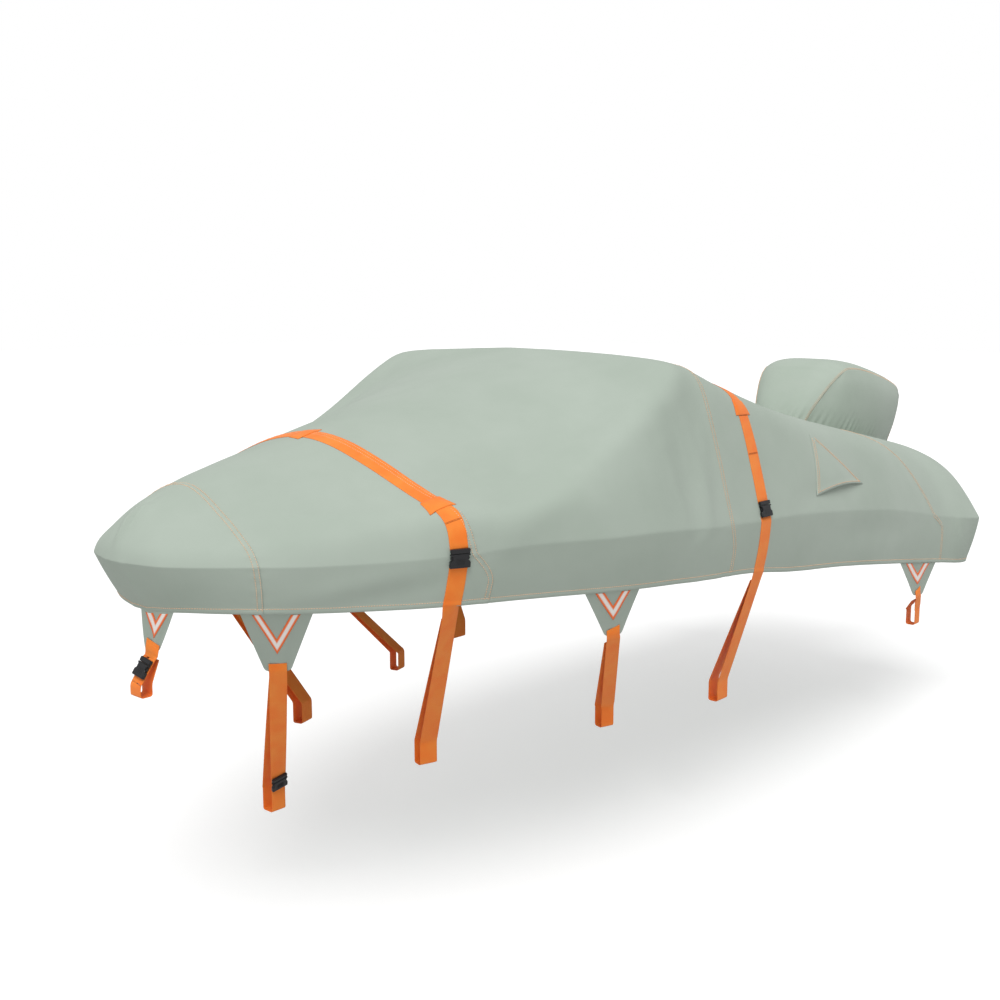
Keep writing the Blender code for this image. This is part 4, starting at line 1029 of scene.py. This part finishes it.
def build_vee(flap, tree):
    """Reflective tape in a vee, its middle white and its edges orange."""
    start = vee_start(flap)
    face = flap_frame(flap)[2]
    shares = np.concatenate([np.linspace(-1, 0, 18), np.linspace(0, 1, 18)[1:]])
    stroke = np.linspace(0, 1, 9)
    outer_drop = start + flap.point * (1 - np.abs(shares))
    inner_drop = start + (flap.point - VEE_STROKE) * (1 - np.abs(shares))
    outer_x = shares * flap.vee / 2
    inner_x = shares * (1 - VEE_STROKE / flap.point) * flap.vee / 2
    offsets = outer_x[:, None] + (inner_x - outer_x)[:, None] * stroke
    drops = outer_drop[:, None] + (inner_drop - outer_drop)[:, None] * stroke
    points = flap_spots(flap, offsets, drops)
    grid = laid_on(tree, points, face, 0.0012)
    uv = np.stack(np.broadcast_arrays(stroke[None, :], shares[:, None]), axis=-1)
    if grid_normals(grid)[9, 4] @ face < 0:
        grid, uv = grid[:, ::-1], uv[:, ::-1]
    name = f"vee_{flap.name}"
    vee = closed_sheet(name + "_tape", grid, 0.0007, uv=uv)
    finish_piece(vee, "reflective_tape", name)


def build_flap_webbing(flap, tree):
    """Webbing sewn on the flap's foot, down into a loop and back up behind."""
    yaw = math.radians(flap.yaw)
    outer_low, inner_low, inner_top, outer_top = rail_corners(
        flap.rail_x, flap.rail_y, flap.rail_h, flap.side, yaw, flap.width, flap.rise
    )
    foot, edge, face = flap_frame(flap)
    length = np.linalg.norm(foot - flap_points(flap, np.zeros(1), np.zeros(1))[0])
    sewn = flap_spots(flap, np.zeros(1), np.array([length - SEWN_LENGTH]))[0]
    beyond = foot + unit(foot - sewn) * BEYOND_FOOT
    back = foot + unit(foot - sewn) * RETURN_DROP - face * RETURN_GAP * 1.5
    way = rail_direction(yaw, flap.side)
    sewn = laid_on(tree, sewn, face, WEB_THICKNESS + 0.0006)
    front = beyond + face * (WEB_THICKNESS + 0.0012)
    corners = [sewn, front, outer_top, outer_low, inner_low, inner_top, back]
    aims = [edge, edge, way, way, way, way, edge]
    grid, _ = free_rows(corners, aims, FLAP_WEBBING, -flap.side)
    grid = facing_out(grid, face)
    name = f"strap_flap_{flap.name}"
    webbing(name + "_webbing", grid, name)
    if flap.name in ("bow_port", "nose"):
        near = outer_top - unit(outer_top - foot) * BUCKLE_ABOVE_RAIL
        middle = grid[:, 3]
        spot = int(np.argmin(np.linalg.norm(middle - near, axis=1)))
        up = unit(middle[spot - 1] - middle[spot + 1])
        out = grid_normals(grid)[spot, 3]
        across = unit(np.cross(up, out))
        centre = middle[spot] + out * 0.0008
        node = f"buckle_flap_{flap.name}"
        buckle(node + "_body", centre, across, up, out, FLAP_WEBBING + BUCKLE_EDGE, node)


# ---------------------------------------------------------------- small hood


GATHER_DEPTH = 0.0065
GATHER_REACH = 0.085
GATHER_PITCH = 0.052


def curve_at(points, share):
    """Points of a hood outline, by smooth interpolation over its rows."""
    rows = np.array(points)
    count = len(rows) - 1
    position = np.clip(np.asarray(share, float), 0, 1) * count
    i = np.minimum(position.astype(int), count - 1)
    s = (position - i)[..., None]
    before, after = rows[np.maximum(i - 1, 0)], rows[np.minimum(i + 2, count)]
    a, b = rows[i], rows[i + 1]
    slope_a = (b - before) / np.where(i > 0, 2, 1)[..., None]
    slope_b = (after - a) / np.where(i + 1 < count, 2, 1)[..., None]
    return (
        (2 * s**3 - 3 * s**2 + 1) * a
        + (s**3 - 2 * s**2 + s) * slope_a
        + (3 * s**2 - 2 * s**3) * b
        + (s**3 - s**2) * slope_b
    )


def hood_outline(share):
    """The middle panel's outline from the front hem over the top to the back hem."""
    share = np.asarray(share, float)[..., None]
    front = curve_at(HOOD_FRONT, share[..., 0] / 0.25)
    top = curve_at(HOOD_TOP, (share[..., 0] - 0.25) / 0.5)
    back = curve_at(HOOD_BACK, 1 - (share[..., 0] - 0.75) / 0.25)
    return np.where(share < 0.25, front, np.where(share < 0.75, top, back))


def hood_band_points(share, across):
    """The middle panel between its two seams, rising softly in the middle."""
    step = 0.01
    before, after = hood_outline(np.maximum(share - step, 0)), hood_outline(np.minimum(share + step, 1))
    run = after - before
    run = run / np.hypot(run[..., 0], run[..., 1])[..., None]
    rise = HOOD_CROWN * (1 - across**4)
    outline = hood_outline(share)
    x, h, half = (outline[..., k] for k in range(3))
    return place(x - run[..., 1] * rise, half * across, h + run[..., 0] * rise)


def hood_side_points(a, b):
    """A side panel between its hem and the outline: a Coons patch with a soft bulge."""
    hem, top = curve_at(HOOD_HEM_SIDE, a), curve_at(HOOD_TOP, a)
    front, back = curve_at(HOOD_FRONT, b), curve_at(HOOD_BACK, b)
    low_front, low_back = np.array(HOOD_FRONT[0]), np.array(HOOD_BACK[0])
    top_front, top_back = np.array(HOOD_TOP[0]), np.array(HOOD_TOP[-1])
    a, b = a[..., None], b[..., None]
    flat = (1 - b) * hem + b * top + (1 - a) * front + a * back
    flat = flat - (1 - a) * (1 - b) * low_front - a * (1 - b) * low_back
    flat = flat - (1 - a) * b * top_front - a * b * top_back
    bulge = np.sin(np.pi * a[..., 0]) * np.sin(np.pi * np.minimum(b[..., 0], 1)) ** 0.8
    return place(flat[..., 0], flat[..., 2] + HOOD_SIDE_BULGE * bulge, flat[..., 1])


def gathered(grid, normals, distance, travel, seed):
    """Elastic gathers above the hood's hem."""
    phase = travel * 2 * math.pi / GATHER_PITCH + 1.3 * np.sin(travel * 9.0 + seed)
    depth = GATHER_DEPTH * np.exp(-((distance / GATHER_REACH) ** 2)) * (0.6 + 0.4 * np.sin(travel * 21))
    hem = 0.002 * np.exp(-(((distance - 0.008) / 0.007) ** 2))
    return grid + normals * (depth * np.sin(phase) + hem)[..., None]


def travel_along(grid, axis):
    steps = np.cumsum(np.linalg.norm(np.diff(grid, axis=axis), axis=2), axis=axis)
    start = np.zeros_like(np.take(steps, [0], axis=axis))
    return np.concatenate([start, steps], axis=axis)


def build_hood():
    shares = np.linspace(0, 1, 191)
    band_s, band_w = np.meshgrid(shares, np.linspace(-1, 1, 61), indexing="ij")
    band = hood_band_points(band_s, band_w)
    side_a, side_b = np.meshgrid(np.linspace(0, 1, 96), np.linspace(0, 1, 56), indexing="ij")
    side = hood_side_points(side_a, side_b)
    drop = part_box("hood_middle")[1].z - band[..., 2].max()
    shift = np.array((0.0, 0.0, drop))
    band, side = band + shift, side + shift
    band = facing_out(band, (0, 0, 1))
    side = facing_out(side, (0, 1, 0))
    travel = travel_along(band, 0)
    from_hem = np.minimum(travel, travel[-1:] - travel)
    width = travel_along(band, 1)
    uneven = unevenness(band) * 0.8
    normals = grid_normals(band)
    band = gathered(band + normals * uneven[..., None], normals, from_hem, width, 0.0)
    if side[0, 0, 2] < side[0, -1, 2]:
        up = travel_along(side, 1)
    else:
        up = travel_along(side[:, ::-1], 1)[:, ::-1]
    run = travel_along(side, 0)
    normals = grid_normals(side)
    fade = np.sin(np.pi * np.linspace(0, 1, side.shape[0]))[:, None] ** 0.4
    uneven = unevenness(side) * 0.8 * fade
    side = gathered(side + normals * uneven[..., None], normals * fade[..., None], up, run, 2.0)
    mirror = np.array((1.0, -1.0, 1.0))
    pieces = {
        "hood_middle": band,
        "hood_starboard": side,
        "hood_port": facing_out(side * mirror, (0, -1, 0)),
    }
    for name, grid in pieces.items():
        finish_piece(closed_sheet(name + "_cloth", grid, THIN_CLOTH), "hood_cloth", name)
    return pieces


def build_hood_stitching(pieces):
    """Two rows of stitches along each long seam of the hood, on its middle panel."""
    band = pieces["hood_middle"]
    normals = grid_normals(band)
    width = travel_along(band, 1)
    rows = []
    for inset in (0.004, 0.013):
        for flipped in (False, True):
            distance = width[:, -1:] - width if flipped else width
            line = []
            faces = []
            for points, face, far in zip(band, normals, distance):
                order = np.argsort(far)
                line.append([np.interp(inset, far[order], points[order, k]) for k in range(3)])
                faces.append([np.interp(inset, far[order], face[order, k]) for k in range(3)])
            rows.append((np.array(line), unit(np.array(faces))))
    finish_piece(stitches("stitching_hood", rows), "hood_cloth", thread=True)


# ---------------------------------------------------------------- materials


def srgb(*values):
    """A colour from its 0 to 255 screen values."""
    linear = [v / 255 / 12.92 if v <= 10 else ((v / 255 + 0.055) / 1.055) ** 2.4 for v in values]
    return (*linear, 1.0)


def shader(name, roughness, sheen=0.0, specular=0.5):
    material = bpy.data.materials.new(name)
    material.use_nodes = True
    principled = material.node_tree.nodes["Principled BSDF"]
    principled.inputs["Roughness"].default_value = roughness
    principled.inputs["Sheen Weight"].default_value = sheen
    principled.inputs["Specular IOR Level"].default_value = specular
    return material, material.node_tree, principled


def add(tree, kind, **settings):
    """A node with its properties and, by name, the values of its inputs."""
    node = tree.nodes.new(kind)
    for key, value in settings.items():
        if hasattr(node, key):
            setattr(node, key, value)
        else:
            node.inputs[key.replace("_", " ")].default_value = value
    return node


def mixed(tree, factor, first, second):
    node = add(tree, "ShaderNodeMix", data_type="RGBA")
    tree.links.new(factor, node.inputs["Factor"])
    for socket, value in ((node.inputs[6], first), (node.inputs[7], second)):
        if isinstance(value, tuple):
            socket.default_value = value
        else:
            tree.links.new(value, socket)
    return node.outputs[2]


def weave(tree, period):
    """The height of a plain weave over the cloth's own coordinates, in metres."""
    coordinates = add(tree, "ShaderNodeUVMap", uv_map="cloth")
    waves = []
    for direction in ("X", "Y"):
        wave = add(tree, "ShaderNodeTexWave", bands_direction=direction, wave_profile="SIN")
        wave.inputs["Scale"].default_value = 2 * math.pi / 20 / period
        tree.links.new(coordinates.outputs["UV"], wave.inputs["Vector"])
        waves.append(wave.outputs["Fac"])
    height = add(tree, "ShaderNodeMath", operation="MAXIMUM")
    tree.links.new(waves[0], height.inputs[0])
    tree.links.new(waves[1], height.inputs[1])
    return height.outputs[0]


def ramp(tree, factor, low, high, low_value=0.0, high_value=1.0):
    node = add(tree, "ShaderNodeMapRange")
    ends = {"From Min": low, "From Max": high, "To Min": low_value, "To Max": high_value}
    for key, value in ends.items():
        node.inputs[key].default_value = value
    tree.links.new(factor, node.inputs["Value"])
    return node.outputs["Result"]


def noise_of(tree, scale, detail=3.0, roughness=0.5):
    coordinates = add(tree, "ShaderNodeTexCoord")
    node = add(tree, "ShaderNodeTexNoise", Scale=scale, Detail=detail, Roughness=roughness)
    tree.links.new(coordinates.outputs["Object"], node.inputs["Vector"])
    return node.outputs["Fac"]


def bumped(tree, principled, heights):
    """Chains bumps, each a height with its strength and distance, into the shader's normal."""
    last = None
    for height, strength, distance in heights:
        node = add(tree, "ShaderNodeBump", Strength=strength, Distance=distance)
        tree.links.new(height, node.inputs["Height"])
        if last:
            tree.links.new(last, node.inputs["Normal"])
        last = node.outputs["Normal"]
    tree.links.new(last, principled.inputs["Normal"])


def cloth_material(name, light, dark):
    """Coated polyester: a fine plain weave with faint mottling, and painted shade that darkens the
    weave's hollows against its high threads.
    """
    material, tree, principled = shader(name, 0.82, sheen=0.08, specular=0.25)
    mottle = ramp(tree, noise_of(tree, 1.7, 4.0, 0.6), 0.35, 0.68)
    fine = noise_of(tree, 26.0, 4.0, 0.65)
    colour = mixed(tree, mottle, dark, light)
    # painted shade: the weave's hollows darker than its high threads
    shade = mixed(tree, ramp(tree, weave(tree, 0.0016), 0.2, 1.0, 0.0, 0.10), colour, light)
    speckled = mixed(tree, ramp(tree, fine, 0.3, 0.75, 0.06, 0.0), shade, dark)
    tree.links.new(speckled, principled.inputs["Base Color"])
    wrinkle = noise_of(tree, 9.0, 5.0, 0.55)
    bumped(tree, principled, [(wrinkle, 0.25, 0.004), (weave(tree, 0.0016), 0.35, 0.00025)])
    return material


def webbing_material():
    """Orange webbing: ribs across it in a diagonal weave, painted darker between them as painted shade.
    """
    material, tree, principled = shader("webbing", 0.62, sheen=0.12, specular=0.35)
    coordinates = add(tree, "ShaderNodeUVMap", uv_map="cloth")
    ribs = add(tree, "ShaderNodeTexWave", bands_direction="DIAGONAL", wave_profile="SIN")
    ribs.inputs["Scale"].default_value = 2 * math.pi / 20 / 0.0030
    tree.links.new(coordinates.outputs["UV"], ribs.inputs["Vector"])
    wear = ramp(tree, noise_of(tree, 14.0, 3.0), 0.3, 0.7)
    colour = mixed(tree, wear, srgb(255, 128, 36), srgb(255, 146, 52))
    # painted shade: the webbing darker in the hollows between its ribs
    shade = ramp(tree, ribs.outputs["Fac"], 0.0, 0.6, 0.22, 0.0)
    ribbed = mixed(tree, shade, colour, srgb(214, 88, 22))
    tree.links.new(ribbed, principled.inputs["Base Color"])
    bumped(tree, principled, [(ribs.outputs["Fac"], 0.5, 0.0006)])
    return material


def tape_material():
    """Reflective tape: a silver-white middle that fades into orange edges."""
    material, tree, principled = shader("reflective_tape", 0.38, specular=0.6)
    coordinates = add(tree, "ShaderNodeUVMap", uv_map="cloth")
    split = add(tree, "ShaderNodeSeparateXYZ")
    tree.links.new(coordinates.outputs["UV"], split.inputs[0])
    offset = add(tree, "ShaderNodeMath", operation="SUBTRACT")
    tree.links.new(split.outputs["X"], offset.inputs[0])
    offset.inputs[1].default_value = 0.5
    distance = add(tree, "ShaderNodeMath", operation="ABSOLUTE")
    tree.links.new(offset.outputs[0], distance.inputs[0])
    edge = add(tree, "ShaderNodeMapRange", interpolation_type="SMOOTHSTEP")
    edge.inputs["From Min"].default_value = 0.12
    edge.inputs["From Max"].default_value = 0.34
    tree.links.new(distance.outputs[0], edge.inputs["Value"])
    colour = mixed(tree, edge.outputs["Result"], srgb(252, 248, 242), srgb(255, 112, 28))
    tree.links.new(colour, principled.inputs["Base Color"])
    grain = noise_of(tree, 900.0, 1.0)
    bumped(tree, principled, [(grain, 0.15, 0.0002)])
    return material


def thread_material(name, light, dark):
    material, tree, principled = shader(name, 0.6, sheen=0.1, specular=0.3)
    twist = ramp(tree, noise_of(tree, 420.0, 2.0), 0.35, 0.65)
    tree.links.new(mixed(tree, twist, dark, light), principled.inputs["Base Color"])
    bumped(tree, principled, [(twist, 0.4, 0.0003)])
    return material


def plastic_material():
    material, tree, principled = shader("buckle", 0.42, specular=0.5)
    grain = noise_of(tree, 700.0, 3.0)
    tree.links.new(
        mixed(tree, grain, srgb(22, 22, 24), srgb(34, 34, 37)), principled.inputs["Base Color"]
    )
    bumped(tree, principled, [(grain, 0.2, 0.0003)])
    return material


MATERIALS = {
    "cover_cloth": cloth_material("cover_cloth", srgb(176, 187, 176), srgb(168, 180, 168)),
    "hood_cloth": cloth_material("hood_cloth", srgb(177, 188, 177), srgb(168, 181, 168)),
    "webbing": webbing_material(),
    "reflective_tape": tape_material(),
    "buckle": plastic_material(),
    "thread": thread_material("thread", srgb(246, 214, 184), srgb(226, 176, 136)),
    "dark_thread": thread_material("dark_thread", srgb(150, 60, 20), srgb(110, 40, 14)),
}


# ---------------------------------------------------------------- studio and camera


CAMERA_PLACE = (-4.539, -3.880, 0.203)
CAMERA_HEADING = math.radians(41.5)  # from +X towards +Y
CAMERA_DIP = math.radians(8.867)
CAMERA_LENS = 45.0


def build_camera():
    data = bpy.data.cameras.new("camera")
    data.lens, data.sensor_width, data.clip_end = CAMERA_LENS, 36.0, 200.0
    camera = bpy.data.objects.new("camera", data)
    camera.location = CAMERA_PLACE
    level = math.cos(CAMERA_DIP)
    aim = Vector(
        (level * math.cos(CAMERA_HEADING), level * math.sin(CAMERA_HEADING), -math.sin(CAMERA_DIP))
    )
    camera.rotation_euler = aim.to_track_quat("-Z", "Y").to_euler()
    bpy.context.scene.collection.objects.link(camera)
    bpy.context.scene.camera = camera


def build_studio():
    size = 60.0
    corners = [(-size, -size, 0), (size, -size, 0), (size, size, 0), (-size, size, 0)]
    floor = mesh_object("floor", np.array(corners) - (0, 0, ROOF_HEIGHT), [(0, 1, 2, 3)])
    material, tree, principled = shader("floor", 0.9, specular=0.0)
    principled.inputs["Base Color"].default_value = (FLOOR_TONE, FLOOR_TONE, FLOOR_TONE, 1)
    glow, total = tree.nodes.new("ShaderNodeEmission"), tree.nodes.new("ShaderNodeAddShader")
    seen = add(tree, "ShaderNodeLightPath").outputs["Is Camera Ray"]
    share = add(tree, "ShaderNodeMath", operation="MULTIPLY")
    tree.links.new(seen, share.inputs[0])
    share.inputs[1].default_value = FLOOR_GLOW
    tree.links.new(share.outputs[0], glow.inputs["Strength"])
    tree.links.new(principled.outputs[0], total.inputs[0])
    tree.links.new(glow.outputs[0], total.inputs[1])
    tree.links.new(total.outputs[0], tree.nodes["Material Output"].inputs["Surface"])
    floor.data.materials.append(material)
    world = bpy.data.worlds.new("studio")
    world.use_nodes = True
    tree = world.node_tree
    seen = add(tree, "ShaderNodeLightPath").outputs["Is Camera Ray"]
    lit, backdrop = tree.nodes["Background"], tree.nodes.new("ShaderNodeBackground")
    lit.inputs["Color"].default_value = (1, 1, 1, 1)
    lit.inputs["Strength"].default_value = SKY
    backdrop.inputs["Color"].default_value = (1, 1, 1, 1)
    backdrop.inputs["Strength"].default_value = 1.0
    either = tree.nodes.new("ShaderNodeMixShader")
    tree.links.new(seen, either.inputs[0])
    tree.links.new(lit.outputs[0], either.inputs[1])
    tree.links.new(backdrop.outputs[0], either.inputs[2])
    tree.links.new(either.outputs[0], tree.nodes["World Output"].inputs["Surface"])
    bpy.context.scene.world = world
    for name, energy, angle, heading, height in LIGHTS:
        data = bpy.data.lights.new(name, "SUN")
        data.energy, data.angle = energy, math.radians(angle)
        lamp = bpy.data.objects.new(name, data)
        heading, height = math.radians(heading), math.radians(height)
        level = math.cos(height)
        source = Vector((level * math.cos(heading), level * math.sin(heading), math.sin(height)))
        lamp.rotation_euler = source.to_track_quat("Z", "Y").to_euler()
        bpy.context.scene.collection.objects.link(lamp)
    bpy.context.scene.view_settings.view_transform = "Standard"


Light = namedtuple("Light", "name energy angle heading height")
LIGHTS = [Light("key", 2.08, 40, 214, 60)]
SKY = 0.52
FLOOR_TONE = 0.6
FLOOR_GLOW = 0.51  # keeps the floor pale, as on a paper backdrop


# ---------------------------------------------------------------- sheets of cloth


# Cut sizes of the cloth pieces in metres and square metres, and how each one is held.
SheetCut = namedtuple("SheetCut", "name width length area held rests_on")
SHEET_CUTS = [
    SheetCut("panel_bow_cloth", 1.45, 0.50, 0.49, "stretched", ["panel_foredeck"]),
    SheetCut("panel_foredeck_cloth", 2.40, 0.78, 1.41, "stretched", ["panel_bow", "panel_windscreen"]),
    SheetCut("panel_windscreen_cloth", 3.65, 1.52, 4.56, "draped", ["panel_foredeck", "panel_cockpit"]),
    SheetCut("panel_cockpit_cloth", 3.65, 2.60, 7.44, "draped", ["panel_windscreen", "panel_stern"]),
    SheetCut("panel_stern_cloth", 3.15, 1.60, 3.87, "draped", ["panel_cockpit"]),
    SheetCut("hood_middle_cloth", 0.59, 1.90, 1.02, "gathered", ["hood_port", "hood_starboard"]),
    SheetCut("flap_bow_port_cloth", 0.28, 0.27, 0.056, "stretched", ["panel_foredeck"]),
    SheetCut("flap_nose_cloth", 0.20, 0.20, 0.022, "stretched", ["panel_bow"]),
]
for each in ("port", "starboard"):
    SHEET_CUTS += [
        SheetCut(f"hood_{each}_cloth", 1.25, 0.58, 0.46, "gathered", ["hood_middle"]),
        SheetCut(f"vent_{each}_cloth", 0.60, 0.31, 0.088, "stretched", ["panel_cockpit"]),
        SheetCut(f"flap_middle_{each}_cloth", 0.31, 0.25, 0.048, "stretched", ["panel_windscreen"]),
        SheetCut(f"flap_stern_{each}_cloth", 0.60, 0.27, 0.080, "stretched", ["panel_cockpit"]),
    ]
for each in ("port", "middle", "starboard"):
    SHEET_CUTS += [
        SheetCut(f"sleeve_front_{each}_webbing", 0.125, 0.075, 0.009, "laid", ["strap_front_top"]),
        SheetCut(f"sleeve_rear_{each}_webbing", 0.135, 0.075, 0.0098, "laid", ["strap_rear_top"]),
    ]


# ---------------------------------------------------------------- the whole scene

build_camera()
build_studio()
cloth_grids = build_panels()
CLOTH_TREE = outer_tree(cloth_grids)
build_seams(CLOTH_TREE)
build_hem_stitching(cloth_grids)
build_vents(CLOTH_TREE)
for each in STRAPS:
    each_tree = build_top_strap(CLOTH_TREE, each)
    build_sleeves(CLOTH_TREE, each_tree, each)
    build_strap_ends(CLOTH_TREE, each)
    build_strap_buckles(CLOTH_TREE, each)
    build_strap_stitching(each_tree, each)
for each in FLAPS:
    flap_tree = build_flap(each)
    build_vee(each, flap_tree)
    build_flap_webbing(each, flap_tree)
hood_pieces = build_hood()
build_hood_stitching(hood_pieces)
